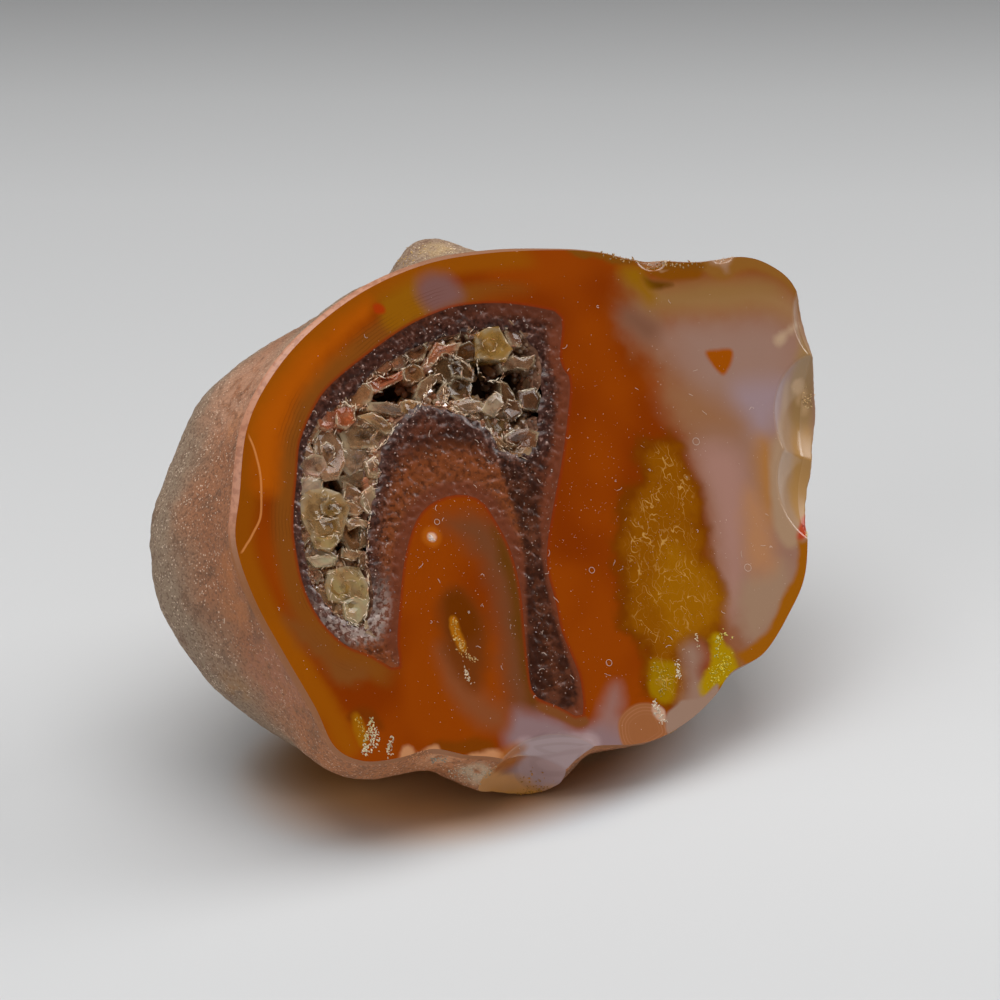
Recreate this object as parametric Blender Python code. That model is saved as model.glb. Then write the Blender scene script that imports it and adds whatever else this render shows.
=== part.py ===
"""Half of an agate nodule, sawn and polished on one side.

The stone lies on a small flat of its rind, with the sawn face turned up and
towards -Y. A crescent-shaped pocket in the face is lined with quartz crystals
that grew together with the stone, so everything is one solid.

Dimensions are in millimetres and are turned into metres when points are made.
On the face, u runs along +X, v runs up the slope of the face, and depth runs
from the face into the stone.
"""

from math import cos, pi, radians, sin

import bmesh
import bpy
from mathutils import Matrix, Vector, noise

MM = 0.001

# How the stone lies.
FACE_TILT = radians(38.0)        # the face's normal points this far above level
FACE_ZERO = (-1.57, -7.50, 25.5) # where u = 0, v = 0 of the face lies

# The nodule behind the face.
NODULE_DEPTH = 30.0              # from the face to the back
DOME_POWER = 2.3                 # 2 is an ellipse, more is boxier
FACE_CENTRE = (2.5, -0.5)        # the rings of the nodule are drawn round it
CHAMFER = 0.55                   # widest ground edge between the face and the rind
CHAMFER_LEAST = 0.12             # its width at the right and below
CHAMFER_MIDDLE = 140.0           # direction in which it is widest, in degrees
CHAMFER_REACH = 66.0
EVENING_DEPTH = 4.0              # depth at which the outline has lost its notches
EVENING_SPAN = 3                 # ring points on each side that even each other out
AROUND = 120                     # points in each ring
RINGS = 18                       # rings from the face to the back
FIRST_TURN = 0.001               # keeps the first ring a little narrower than the edge's arm
CURVE_STEPS = 12                 # steps between two drawn points of an outline

# The edge of the polished face, in (u, v), starting at the left.
FACE_EDGE = [
    (-31.4, 4.4), (-29.5, 8.9), (-26.7, 14.9), (-22.8, 19.1), (-17.3, 22.7), (-10.1, 25.5),
    (-2.6, 26.7), (4.7, 26.3), (12.4, 24.9), (16.8, 23.6), (20.2, 22.0), (23.5, 21.2),
    (27.5, 20.2), (32.5, 19.7), (35.5, 18.1), (37.4, 15.4), (37.4, 10.8), (36.4, 5.6),
    (33.8, -1.1), (30.3, -8.3), (27.8, -13.8), (24.7, -17.1), (20.3, -20.4), (16.1, -21.3),
    (13.4, -23.1), (10.1, -24.6), (6.2, -25.5), (2.9, -25.4), (-1.8, -24.4), (-5.4, -25.2),
    (-8.6, -24.4), (-12.2, -22.6), (-15.0, -21.6), (-18.2, -20.1), (-21.9, -20.0),
    (-25.6, -19.3), (-28.0, -17.2), (-28.7, -13.0), (-30.0, -7.6), (-31.3, -1.4),
]

# Swellings of the rind: direction round the face in degrees, depth, how far it
# reaches in degrees and in depth, and its height.
SWELLS = [
    (165.0, 14.0, 30.0, 9.0, 6.7),     # the broad left flank
    (184.0, 13.0, 12.0, 9.0, 0.6),     # its lower end
    (212.0, 13.0, 10.0, 9.0, -1.2),    # the hollow below the flank
    (153.0, 12.0, 6.0, 8.0, -0.9),     # the hollow above it
    (91.0, 7.0, 8.0, 4.5, 3.8),        # the knob on top
    (249.5, 4.5, 8.0, 3.0, 3.3),       # the lip under the face
    (235.0, 5.0, 5.0, 3.0, 1.7),       # its lower left side
    (218.0, 4.5, 8.0, 4.0, 1.7),       # the lower left corner
    (10.0, 11.0, 45.0, 9.0, 2.2),      # the right flank
    (4.0, 3.5, 14.0, 3.0, 1.2),        # its edge beside the face
]
BACK_LIFT = 1.5                  # how far the back lies above the middle of the face
ROUGHNESS = 0.35                 # height of the uneven rind
ROUGHNESS_SCALE = 6.5            # distance over which it rises and falls
ROUGHNESS_START = 2.5            # depth at which it has its full height

# Shell-shaped chips, cut by balls: centre in (u, v, depth), and radius.
CHIP_FINENESS = 3                # how often the ball's faces are split
CHIPS = {
    "big_chip": (-7.2, -30.3, -6.2, 10.4),
    "rind_chip": (-9.6, -31.5, 0.4, 8.4),
    "edge_chip_high": (41.6, 10.6, -6.4, 8.6),
    "edge_chip_middle": (37.4, 0.6, -8.6, 11.4),
    "edge_chip_low": (34.6, -6.0, -8.6, 11.0),
    "corner_chip": (18.0, -26.4, -2.0, 5.4),
    "top_nick_left": (22.4, 22.4, -0.9, 2.1),
    "top_nick_right": (30.4, 21.6, -1.0, 2.3),
}

# The crystal pocket: its rim on the face, and how its walls run in.
POCKET_RIM = [
    (-21.8, -6.7), (-23.7, -4.6), (-24.8, -2.0), (-24.9, 1.1), (-24.0, 5.0), (-22.6, 8.8),
    (-20.8, 12.3), (-18.6, 14.2), (-14.4, 15.8), (-11.9, 17.4), (-6.0, 18.9), (-0.1, 19.1),
    (3.2, 18.6), (5.3, 17.4), (6.4, 15.5), (6.2, 13.1), (4.8, 10.0), (3.1, 6.9), (1.2, 5.8),
    (-0.8, 6.4), (-1.4, 8.4), (-2.6, 10.1), (-4.6, 11.4), (-6.6, 12.6), (-8.8, 13.0),
    (-11.0, 11.7), (-12.8, 10.4), (-14.0, 8.8), (-15.1, 6.6), (-16.6, 4.1), (-18.0, 1.4),
    (-18.6, -1.1), (-19.1, -4.0), (-20.4, -6.2),
]
POCKET_DEPTH = 5.2
POCKET_POINTS = 60               # points round the pocket
POCKET_RINGS = (                 # depth of each ring, and how far it is drawn in
    (-1.0, 0.0),                 # this ring lies above the face, so the cut is clean
    (0.5, 0.1),
    (POCKET_DEPTH, 1.5),
)

# Quartz crystals: tip in (u, v), depth of the tip, radius, length, and the
# lean of the tip towards +u and +v in degrees.
CRYSTALS = [
    (-21.2, -3.4, 0.8, 2.0, 7.0, 14.0, 10.0),
    (-23.0, 0.9, 1.0, 1.3, 6.0, -10.0, -14.0),
    (-19.6, 1.2, 1.6, 1.5, 6.0, -8.0, 16.0),
    (-21.2, 5.0, 0.9, 2.1, 7.0, 12.0, -8.0),
    (-19.0, 10.4, 0.7, 1.8, 7.0, -12.0, 12.0),
    (-16.2, 8.6, 1.2, 1.9, 6.5, 16.0, -10.0),
    (-15.7, 13.8, 0.8, 1.4, 6.5, -14.0, 6.0),
    (-13.6, 11.5, 1.4, 1.8, 6.5, 8.0, -12.0),
    (-13.9, 15.6, 1.1, 1.3, 6.0, -6.0, 18.0),
    (-10.6, 13.4, 1.0, 1.5, 6.5, 22.0, -6.0),
    (-7.2, 16.3, 1.3, 1.3, 6.0, -12.0, 14.0),
    (-3.2, 14.6, 1.7, 2.1, 6.0, 10.0, -12.0),
    (-1.1, 17.0, 1.3, 1.4, 6.0, -8.0, 16.0),
    (2.4, 17.0, 0.8, 1.9, 7.0, 10.0, 12.0),
    (4.6, 14.9, 1.5, 1.2, 6.0, 14.0, -10.0),
    (0.4, 11.5, 0.9, 1.4, 6.5, -14.0, 10.0),
    (0.5, 9.0, 1.2, 1.5, 6.5, 12.0, -8.0),
    (2.2, 7.6, 1.5, 1.2, 6.0, -10.0, -6.0),
]
CRYSTAL_SIDES = 6
CRYSTAL_TIP = 0.9                # a tip is this part of the radius high
CRYSTAL_TAPER = 0.9              # width under the tip, as a part of the foot's

STONE_COLOUR = (0.46, 0.13, 0.02, 1.0)
STONE_ROUGHNESS = 0.35


def stone_point(u, v, depth):
    """A point of the stone in metres, from its place on and behind the face."""
    x = FACE_ZERO[0] + u
    y = FACE_ZERO[1] + v * sin(FACE_TILT) + depth * cos(FACE_TILT)
    z = FACE_ZERO[2] + v * cos(FACE_TILT) - depth * sin(FACE_TILT)
    return Vector((x, y, z)) * MM


def smooth_loop(points, count):
    """Closed smooth curve through the points, as count points evenly spaced along it."""
    dense = []
    for i in range(len(points)):
        before, start, end, after = (Vector(points[(i + k) % len(points)]) for k in (-1, 0, 1, 2))
        for step in range(CURVE_STEPS):
            t = step / CURVE_STEPS
            bend = (2 * before - 5 * start + 4 * end - after) * t * t
            twist = (3 * start - before - 3 * end + after) * t * t * t
            dense.append((2 * start + (end - before) * t + bend + twist) / 2)
    lengths = [0.0]
    for i, point in enumerate(dense):
        lengths.append(lengths[-1] + (dense[(i + 1) % len(dense)] - point).length)
    loop = []
    segment = 0
    for i in range(count):
        wanted = lengths[-1] * i / count
        while lengths[segment + 1] < wanted:
            segment += 1
        part = (wanted - lengths[segment]) / (lengths[segment + 1] - lengths[segment])
        loop.append(dense[segment].lerp(dense[(segment + 1) % len(dense)], part))
    return loop


def turn_between(angle, direction):
    """The turn from a direction to an angle, from -180 to 180 degrees."""
    return (angle - direction + 180.0) % 360.0 - 180.0


def hill(distance, reach):
    """Smooth hill that is 1 in the middle and 0 from twice the reach outwards."""
    t = min(abs(distance) / (2 * reach), 1.0)
    return (1 - t * t) ** 2


def rind_height(angle, depth):
    """How far the swellings lift the rind, in a direction and at a depth."""
    height = 0.0
    for direction, middle, reach_angle, reach_depth, top in SWELLS:
        turn = turn_between(angle, direction)
        inner = min(depth / middle, 1.0)
        height += top * hill(turn, reach_angle) * hill(depth - middle, reach_depth) * inner
    return height


def evened(edge):
    """The outline without its small notches: each point is the mean of its neighbours."""
    reach = range(-EVENING_SPAN, EVENING_SPAN + 1)
    count = len(edge)
    return [sum((edge[(i + k) % count] for k in reach), Vector((0, 0))) / len(reach)
            for i in range(count)]


def chamfer_width(angle):
    """How wide the ground edge is in a direction."""
    near = hill(turn_between(angle, CHAMFER_MIDDLE), CHAMFER_REACH)
    return CHAMFER_LEAST + (CHAMFER - CHAMFER_LEAST) * near


def ring(edge, depth, width):
    """One ring of the nodule: the face's edge, drawn in to a width from 0 to 1."""
    centre = Vector(FACE_CENTRE)
    lifted = centre + Vector((0.0, BACK_LIFT)) * (depth / NODULE_DEPTH) ** 2
    points = []
    for sharp, even in zip(edge, evened(edge)):
        arm = sharp.lerp(even, min(depth / EVENING_DEPTH, 1.0)) - centre
        angle = Vector((1.0, 0.0)).angle_signed(arm) * -180.0 / pi
        out = rind_height(angle, depth) + chamfer_width(angle)
        wave = noise.noise(Vector((arm.x, arm.y, depth)) / ROUGHNESS_SCALE)
        out += ROUGHNESS * wave * min(depth / ROUGHNESS_START, 1.0)
        place = lifted + arm * width + arm.normalized() * out * width
        points.append(stone_point(place.x, place.y, depth))
    return points


def nodule():
    """The stone's whole outside as one closed mesh, before chips and pocket."""
    edge = smooth_loop(FACE_EDGE, AROUND)
    mesh = bmesh.new()
    rings = [[mesh.verts.new(stone_point(p.x, p.y, 0.0)) for p in edge]]
    for step in range(RINGS):
        turn = max(step / RINGS * pi / 2, FIRST_TURN)
        depth = CHAMFER + (NODULE_DEPTH - CHAMFER) * sin(turn) ** (2 / DOME_POWER)
        width = cos(turn) ** (2 / DOME_POWER)
        rings.append([mesh.verts.new(place) for place in ring(edge, depth, width)])
    pole = mesh.verts.new(stone_point(FACE_CENTRE[0], FACE_CENTRE[1] + BACK_LIFT, NODULE_DEPTH))
    mesh.faces.new(rings[0])
    for outer, inner in zip(rings, rings[1:]):
        for i in range(AROUND):
            j = (i + 1) % AROUND
            mesh.faces.new((outer[i], outer[j], inner[j], inner[i]))
    for i in range(AROUND):
        mesh.faces.new((rings[-1][i], rings[-1][(i + 1) % AROUND], pole))
    return mesh


def rest_flat(mesh):
    """Cut the stone off level where it rests, and close the cut."""
    everything = mesh.verts[:] + mesh.edges[:] + mesh.faces[:]
    bmesh.ops.bisect_plane(mesh, geom=everything, plane_co=(0, 0, 0), plane_no=(0, 0, -1),
                           clear_outer=True)
    rim = [e for e in mesh.edges if e.is_boundary]
    bmesh.ops.contextual_create(mesh, geom=rim)


def finished_object(name, mesh):
    """Turn a bmesh into an object, with every face pointing out."""
    bmesh.ops.recalc_face_normals(mesh, faces=mesh.faces)
    data = bpy.data.meshes.new(name)
    mesh.to_mesh(data)
    mesh.free()
    made = bpy.data.objects.new(name, data)
    bpy.context.scene.collection.objects.link(made)
    return made


def pocket_cutter():
    """The space of the pocket: the rim above the face, drawn in below it."""
    rim = smooth_loop(POCKET_RIM, POCKET_POINTS)
    mesh = bmesh.new()
    rings = []
    for depth, inset in POCKET_RINGS:
        points = []
        for i, corner in enumerate(rim):
            along = rim[(i + 1) % len(rim)] - rim[i - 1]
            inward = Vector((along.y, -along.x)).normalized()
            place = corner + inward * inset
            points.append(mesh.verts.new(stone_point(place.x, place.y, depth)))
        rings.append(points)
    mesh.faces.new(rings[0])
    mesh.faces.new(rings[-1])
    for outer, inner in zip(rings, rings[1:]):
        for i in range(len(outer)):
            j = (i + 1) % len(outer)
            mesh.faces.new((outer[i], outer[j], inner[j], inner[i]))
    return finished_object("pocket_cutter", mesh)


def crystal(index, u, v, tip_depth, radius, length, lean_u, lean_v):
    """A six-sided quartz crystal that stands in the pocket and ends in a point."""
    mesh = bmesh.new()
    upright = Matrix.Rotation(radians(lean_u), 3, "Y") @ Matrix.Rotation(radians(-lean_v), 3, "X")
    peak = Vector((u, v, tip_depth))

    def place(x, y, below_tip):
        offset = upright @ Vector((x, y, -below_tip))
        return mesh.verts.new(stone_point(peak.x + offset.x, peak.y + offset.y, peak.z - offset.z))

    tip = place(0.0, 0.0, 0.0)
    rings = []
    for width, below in ((CRYSTAL_TAPER, radius * CRYSTAL_TIP), (1.0, length)):
        corners = [2 * pi * side / CRYSTAL_SIDES + index for side in range(CRYSTAL_SIDES)]
        rings.append([place(cos(a) * radius * width, sin(a) * radius * width, below) for a in corners])
    shoulder, foot = rings
    mesh.faces.new(foot)
    for i in range(CRYSTAL_SIDES):
        j = (i + 1) % CRYSTAL_SIDES
        mesh.faces.new((shoulder[i], shoulder[j], tip))
        mesh.faces.new((shoulder[i], shoulder[j], foot[j], foot[i]))
    return finished_object(f"crystal_{index:02d}", mesh)


def chip_cutter(name, u, v, depth, radius):
    """A ball that leaves a shell-shaped hollow where it cuts the stone."""
    mesh = bmesh.new()
    bmesh.ops.create_icosphere(mesh, subdivisions=CHIP_FINENESS, radius=radius * MM)
    bmesh.ops.translate(mesh, verts=mesh.verts, vec=stone_point(u, v, depth))
    return finished_object(name, mesh)


def combine(stone, tool, operation):
    """Add or subtract another solid, which itself stays out of the part."""
    tool.hide_render = True
    tool.display_type = "WIRE"
    step = stone.modifiers.new(tool.name, "BOOLEAN")
    step.operation = operation
    step.solver = "EXACT"
    step.object = tool


def stone_material():
    """Orange chalcedony as a single plain finish."""
    material = bpy.data.materials.new("agate")
    material.use_nodes = True
    shader = material.node_tree.nodes["Principled BSDF"]
    shader.inputs["Base Color"].default_value = STONE_COLOUR
    shader.inputs["Roughness"].default_value = STONE_ROUGHNESS
    shader.inputs["Metallic"].default_value = 0.0
    return material


def build_agate():
    """The whole stone, with its flat, chips, pocket and crystals."""
    mesh = nodule()
    rest_flat(mesh)
    agate = finished_object("agate", mesh)
    agate.data.materials.append(stone_material())
    for name, (u, v, depth, radius) in CHIPS.items():
        combine(agate, chip_cutter(name, u, v, depth, radius), "DIFFERENCE")
    combine(agate, pocket_cutter(), "DIFFERENCE")
    for index, values in enumerate(CRYSTALS):
        combine(agate, crystal(index, *values), "UNION")
    return agate


for old in list(bpy.data.objects):
    bpy.data.objects.remove(old)
build_agate()
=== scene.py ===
# %% [markdown]
# # Half of an agate nodule
#
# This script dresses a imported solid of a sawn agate. The solid gives the
# size and the place. Everything that makes it look like stone is made here:
# the granular rind, the polished face with its painted bands, the druse that
# sparkles round the pocket, the quartz crystals in it, and the dust.
#
# Most places are given in the stone's own directions: u runs along the face to
# the right, v runs up its slope, and depth runs from the face into the stone.
# All three are in millimetres.

# %% Load the frame
from math import cos, pi, radians, sin, sqrt

import bmesh
import bpy
import numpy as np
from mathutils import Matrix, Vector, geometry, noise


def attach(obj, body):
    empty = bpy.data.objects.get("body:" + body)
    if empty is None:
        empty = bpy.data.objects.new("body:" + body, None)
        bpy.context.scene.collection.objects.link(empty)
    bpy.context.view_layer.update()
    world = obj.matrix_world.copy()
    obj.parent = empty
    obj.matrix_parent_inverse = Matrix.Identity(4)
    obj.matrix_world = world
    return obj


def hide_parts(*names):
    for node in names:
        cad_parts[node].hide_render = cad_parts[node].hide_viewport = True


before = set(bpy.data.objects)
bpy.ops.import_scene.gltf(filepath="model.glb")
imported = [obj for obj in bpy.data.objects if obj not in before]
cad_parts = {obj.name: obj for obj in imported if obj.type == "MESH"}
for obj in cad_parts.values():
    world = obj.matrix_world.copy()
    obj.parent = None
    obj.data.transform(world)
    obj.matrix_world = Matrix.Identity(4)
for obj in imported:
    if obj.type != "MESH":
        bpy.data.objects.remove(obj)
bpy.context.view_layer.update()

# %% [markdown]
# ## The stone's own directions
#
# The face leans back, so a place on it is awkward to give in X, Y and Z. One
# small function turns (u, v, depth) into the place in the frame. It takes
# numpy arrays, because the pieces below have tens of thousands of points.

# %% Places on and behind the face
MM = 0.001
FACE_TILT = radians(38.0)          # the face's normal points this far above level
FACE_ZERO = (-1.57, -7.50, 25.5)   # where u = 0, v = 0 of the face lies


def stone_points(places):
    """Turn rows of (u, v, depth) in millimetres into places in metres."""
    u, v, depth = np.asarray(places, float).T
    x = FACE_ZERO[0] + u
    y = FACE_ZERO[1] + v * sin(FACE_TILT) + depth * cos(FACE_TILT)
    z = FACE_ZERO[2] + v * cos(FACE_TILT) - depth * sin(FACE_TILT)
    return np.column_stack((x, y, z)) * MM


def on_face(u, v, depth=0.0):
    """One place of the stone as a vector in metres."""
    return Vector(stone_points([(u, v, depth)])[0])


print("middle of the face:", [round(n, 4) for n in on_face(0.0, 0.0)])

# %% [markdown]
# ## The camera
#
# The photograph looks down on the stone from its left with a long lens, which
# keeps the outline free of wide-angle stretch. The camera is placed from three
# facts: its direction, the pixel that shows the middle of the face, and how
# many millimetres one pixel covers there.

# %% Camera
AZIMUTH = radians(-30.0)
ELEVATION = radians(28.0)
LENS = 150.0
SENSOR = 36.0
CLIP = (0.01, 20.0)                # nothing nearer or farther than this is seen
IMAGE_SIZE = 1000
MM_PER_PIXEL = 0.10
FACE_PIXEL = (530.0, 510.0)        # the pixel that shows u = 0, v = 0

towards_camera = Vector((sin(AZIMUTH) * cos(ELEVATION), -cos(AZIMUTH) * cos(ELEVATION), sin(ELEVATION)))
camera_right = Vector((cos(AZIMUTH), sin(AZIMUTH), 0.0))
camera_up = towards_camera.cross(camera_right)
per_pixel = SENSOR / LENS / IMAGE_SIZE
right_of_middle = (FACE_PIXEL[0] - IMAGE_SIZE / 2) * per_pixel
below_middle = (FACE_PIXEL[1] - IMAGE_SIZE / 2) * per_pixel
sight = -towards_camera + camera_right * right_of_middle - camera_up * below_middle
distance = MM_PER_PIXEL * IMAGE_SIZE * LENS / SENSOR * MM

lens = bpy.data.cameras.new("camera")
lens.lens = LENS
lens.sensor_width = SENSOR
lens.clip_start, lens.clip_end = CLIP
camera = bpy.data.objects.new("camera", lens)
turn = Matrix((camera_right, camera_up, towards_camera)).transposed()
camera.matrix_world = Matrix.Translation(on_face(0.0, 0.0) - sight * distance) @ turn.to_4x4()
bpy.context.scene.collection.objects.link(camera)
bpy.context.scene.camera = camera
print("camera stands", round(distance, 3), "m from the face")

# %% [markdown]
# ## Curves and distances
#
# Every outline is a short list of given points. A smooth curve goes
# through them, and the rest of the script asks one question of it: how far is
# a point from the curve, and on which side? A signed distance is worth more
# than a yes or no, because it can make a crisp edge, a soft edge, or a line
# that runs along the outline.

# %% Smooth curves
CURVE_STEPS = 12                   # fine steps between two given points


def smooth_loop(points, count):
    """Closed smooth curve through the points, as count points evenly spaced along it."""
    corners = np.array(points, float)
    before, start, end, after = (np.roll(corners, -k, axis=0)[:, None, :] for k in (-1, 0, 1, 2))
    t = (np.arange(CURVE_STEPS) / CURVE_STEPS)[None, :, None]
    bend = (2 * before - 5 * start + 4 * end - after) * t ** 2
    twist = (3 * start - before - 3 * end + after) * t ** 3
    dense = ((2 * start + (end - before) * t + bend + twist) / 2).reshape(-1, corners.shape[1])
    ring = np.vstack((dense, dense[:1]))
    along = np.concatenate(([0.0], np.cumsum(np.linalg.norm(np.diff(ring, axis=0), axis=1))))
    wanted = np.arange(count) / count * along[-1]
    return np.column_stack([np.interp(wanted, along, column) for column in ring.T])


def inside_distance(places, outline):
    """Distance of each place to a closed outline: above zero inside, below zero outside."""
    x, y = np.asarray(places, float)[:, :2].T
    nearest = np.full(len(x), np.inf)
    inside = np.zeros(len(x), bool)
    for (x0, y0), (x1, y1) in zip(outline, np.roll(outline, -1, axis=0)):
        dx, dy = x1 - x0, y1 - y0
        along = np.clip(((x - x0) * dx + (y - y0) * dy) / (dx * dx + dy * dy), 0.0, 1.0)
        nearest = np.minimum(nearest, (x - x0 - along * dx) ** 2 + (y - y0 - along * dy) ** 2)
        if dy:
            inside ^= ((y0 > y) != (y1 > y)) & (x < dx * (y - y0) / dy + x0)
    return np.where(inside, 1.0, -1.0) * np.sqrt(nearest)


# %% [markdown]
# ## The stone's outlines
#
# These are the same driving dimensions as the solid's: the edge of the face,
# the swellings of the rind, the chips, and the rim of the pocket. Repeating
# them keeps the fine surface exactly where the solid is.

# %% Driving dimensions of the stone
NODULE_DEPTH = 30.0
DOME_POWER = 2.3                   # 2 is an ellipse, more is boxier
FACE_CENTRE = np.array((2.5, -0.5))
CHAMFER = 0.55
CHAMFER_LEAST = 0.12
CHAMFER_MIDDLE = 140.0
CHAMFER_REACH = 66.0
EVENING_DEPTH = 4.0
EVENING_REACH = 4.7                # millimetres along the edge that even each other out
BACK_LIFT = 1.5
ROUGHNESS = 0.35
ROUGHNESS_SCALE = 6.5
ROUGHNESS_START = 2.5

FACE_EDGE = [
    (-31.4, 4.4), (-29.5, 8.9), (-26.7, 14.9), (-22.8, 19.1), (-17.3, 22.7), (-10.1, 25.5),
    (-2.6, 26.7), (4.7, 26.3), (12.4, 24.9), (16.8, 23.6), (20.2, 22.0), (23.5, 21.2),
    (27.5, 20.2), (32.5, 19.7), (35.5, 18.1), (37.4, 15.4), (37.4, 10.8), (36.4, 5.6),
    (33.8, -1.1), (30.3, -8.3), (27.8, -13.8), (24.7, -17.1), (20.3, -20.4), (16.1, -21.3),
    (13.4, -23.1), (10.1, -24.6), (6.2, -25.5), (2.9, -25.4), (-1.8, -24.4), (-5.4, -25.2),
    (-8.6, -24.4), (-12.2, -22.6), (-15.0, -21.6), (-18.2, -20.1), (-21.9, -20.0),
    (-25.6, -19.3), (-28.0, -17.2), (-28.7, -13.0), (-30.0, -7.6), (-31.3, -1.4),
]
# Direction round the face in degrees, depth, reach in degrees and depth, height.
SWELLS = [
    (165.0, 14.0, 30.0, 9.0, 6.7), (184.0, 13.0, 12.0, 9.0, 0.6), (212.0, 13.0, 10.0, 9.0, -1.2),
    (153.0, 12.0, 6.0, 8.0, -0.9), (91.0, 7.0, 8.0, 4.5, 3.8), (249.5, 4.5, 8.0, 3.0, 3.3),
    (235.0, 5.0, 5.0, 3.0, 1.7), (218.0, 4.5, 8.0, 4.0, 1.7), (10.0, 11.0, 45.0, 9.0, 2.2),
    (4.0, 3.5, 14.0, 3.0, 1.2),
]
# Shell-shaped chips: the centre of a ball in (u, v, depth), and its radius.
CHIPS = {
    "big_chip": (-7.2, -30.3, -6.2, 10.4),
    "rind_chip": (-9.6, -31.5, 0.4, 8.4),
    "edge_chip_high": (41.6, 10.6, -6.4, 8.6),
    "edge_chip_middle": (37.4, 0.6, -8.6, 11.4),
    "edge_chip_low": (34.6, -6.0, -8.6, 11.0),
    "corner_chip": (18.0, -26.4, -2.0, 5.4),
    "top_nick_left": (22.4, 22.4, -0.9, 2.1),
    "top_nick_right": (30.4, 21.6, -1.0, 2.3),
}
POCKET_RIM = [
    (-21.8, -6.7), (-23.7, -4.6), (-24.8, -2.0), (-24.9, 1.1), (-24.0, 5.0), (-22.6, 8.8),
    (-20.8, 12.3), (-18.6, 14.2), (-14.4, 15.8), (-11.9, 17.4), (-6.0, 18.9), (-0.1, 19.1),
    (3.2, 18.6), (5.3, 17.4), (6.4, 15.5), (6.2, 13.1), (4.8, 10.0), (3.1, 6.9), (1.2, 5.8),
    (-0.8, 6.4), (-1.4, 8.4), (-2.6, 10.1), (-4.6, 11.4), (-6.6, 12.6), (-8.8, 13.0), (-11.0, 11.7),
    (-12.8, 10.4), (-14.0, 8.8), (-15.1, 6.6), (-16.6, 4.1), (-18.0, 1.4), (-18.6, -1.1),
    (-19.1, -4.0), (-20.4, -6.2),
]
POCKET_DEPTH = 5.2

EDGE_POINTS = 600
EDGE_THINNING = 4                  # distances to the edge are measured to every fourth point
face_edge = smooth_loop(FACE_EDGE, EDGE_POINTS)
thin_edge = face_edge[::EDGE_THINNING]
edge_length = np.linalg.norm(np.diff(face_edge, axis=0, append=face_edge[:1]), axis=1).sum()
print("edge of the face:", round(float(edge_length), 1), "mm round")

# %% [markdown]
# ## Meshes
#
# Every piece is built from numpy arrays. One helper makes the object, gives it
# its body, and prints its points and triangles. Numbers that a shader needs at
# each point, such as a distance to an outline, are stored beside the points as
# named attributes.

# %% Making a piece
def make_piece(name, points, faces, smooth=True):
    """A mesh object that rides on the stone's only body."""
    data = bpy.data.meshes.new(name)
    data.from_pydata(points, [], faces)
    data.polygons.foreach_set("use_smooth", np.full(len(data.polygons), smooth))
    data.update()
    piece = bpy.data.objects.new(name, data)
    bpy.context.scene.collection.objects.link(piece)
    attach(piece, "root")
    triangles = sum(len(face.vertices) - 2 for face in data.polygons)
    print(f"{name}: {len(data.vertices)} points, {triangles} triangles")
    return piece


def store(piece, name, values):
    """Keep one number for each point of the mesh, for the shader to read."""
    layer = piece.data.attributes.new(name, "FLOAT", "POINT")
    layer.data.foreach_set("value", np.ascontiguousarray(values, np.float32))


print("body that all pieces ride on: root")


# %% [markdown]
# ## Chips
#
# A chip is a shell-shaped hollow. In the solid a ball cuts it out. On a fine
# mesh it is simpler to push each point that lies inside the ball out to the
# ball's surface: no cut is needed, and the face and the rind stay joined along
# their common edge. How far a point was inside is kept, because broken stone
# looks different from rind.

# %% Pushing points out of the chips
def push_out_of_chips(places):
    """Move points to the surface of the balls, and give how far inside they were."""
    places = places.copy()
    depth_in_chip = np.full(len(places), -np.inf)
    for *centre, radius in CHIPS.values():
        arm = places - np.array(centre)
        reach = np.linalg.norm(arm, axis=1)
        depth_in_chip = np.maximum(depth_in_chip, radius - reach)
        inside = reach < radius
        places[inside] = np.array(centre) + arm[inside] * (radius / reach[inside])[:, None]
    return places, depth_in_chip


def noise_at(places, size, seed=0.0):
    """Smooth noise between about -1 and 1, whose hills are about size millimetres apart."""
    shift = Vector((seed, -seed, seed * 2))
    return np.array([noise.noise(Vector(place) / size + shift) for place in places])


print("chips:", ", ".join(CHIPS))


# %% [markdown]
# ## The rind
#
# The rind is the nodule's skin, a rough crust of fine grains. It is lofted in
# rings from the edge of the face to the back, with the same formula as the
# solid, but with about thirty times as many points. Three sizes of noise lift
# and sink it along its normals: lumps that a finger would feel, dimples, and
# grains that only break up the light.

# %% Shape of the rind
RIND_ROWS = 132
CHAMFER_ROWS = 3
ROW_CROWDING = 1.25                # more than 1 crowds the rings towards the face
RIND_LUMPS = ((2.6, 0.14), (0.95, 0.07), (0.45, 0.045))   # size and height of the noise
RIND_GRAIN_START = 0.9             # depth over which the roughness fades in


def hill(distance, reach):
    """Smooth hill that is 1 in the middle and 0 from twice the reach outwards."""
    t = np.minimum(np.abs(distance) / (2 * reach), 1.0)
    return (1 - t * t) ** 2


def turn_between(angle, direction):
    """Smallest turn between two directions in degrees."""
    return (angle - direction + 180.0) % 360.0 - 180.0


def evened(edge):
    """The outline without its small notches: each point is the mean of its neighbours."""
    reach = round(EVENING_REACH / edge_length * len(edge))
    return np.mean([np.roll(edge, k, axis=0) for k in range(-reach, reach + 1)], axis=0)


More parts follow.
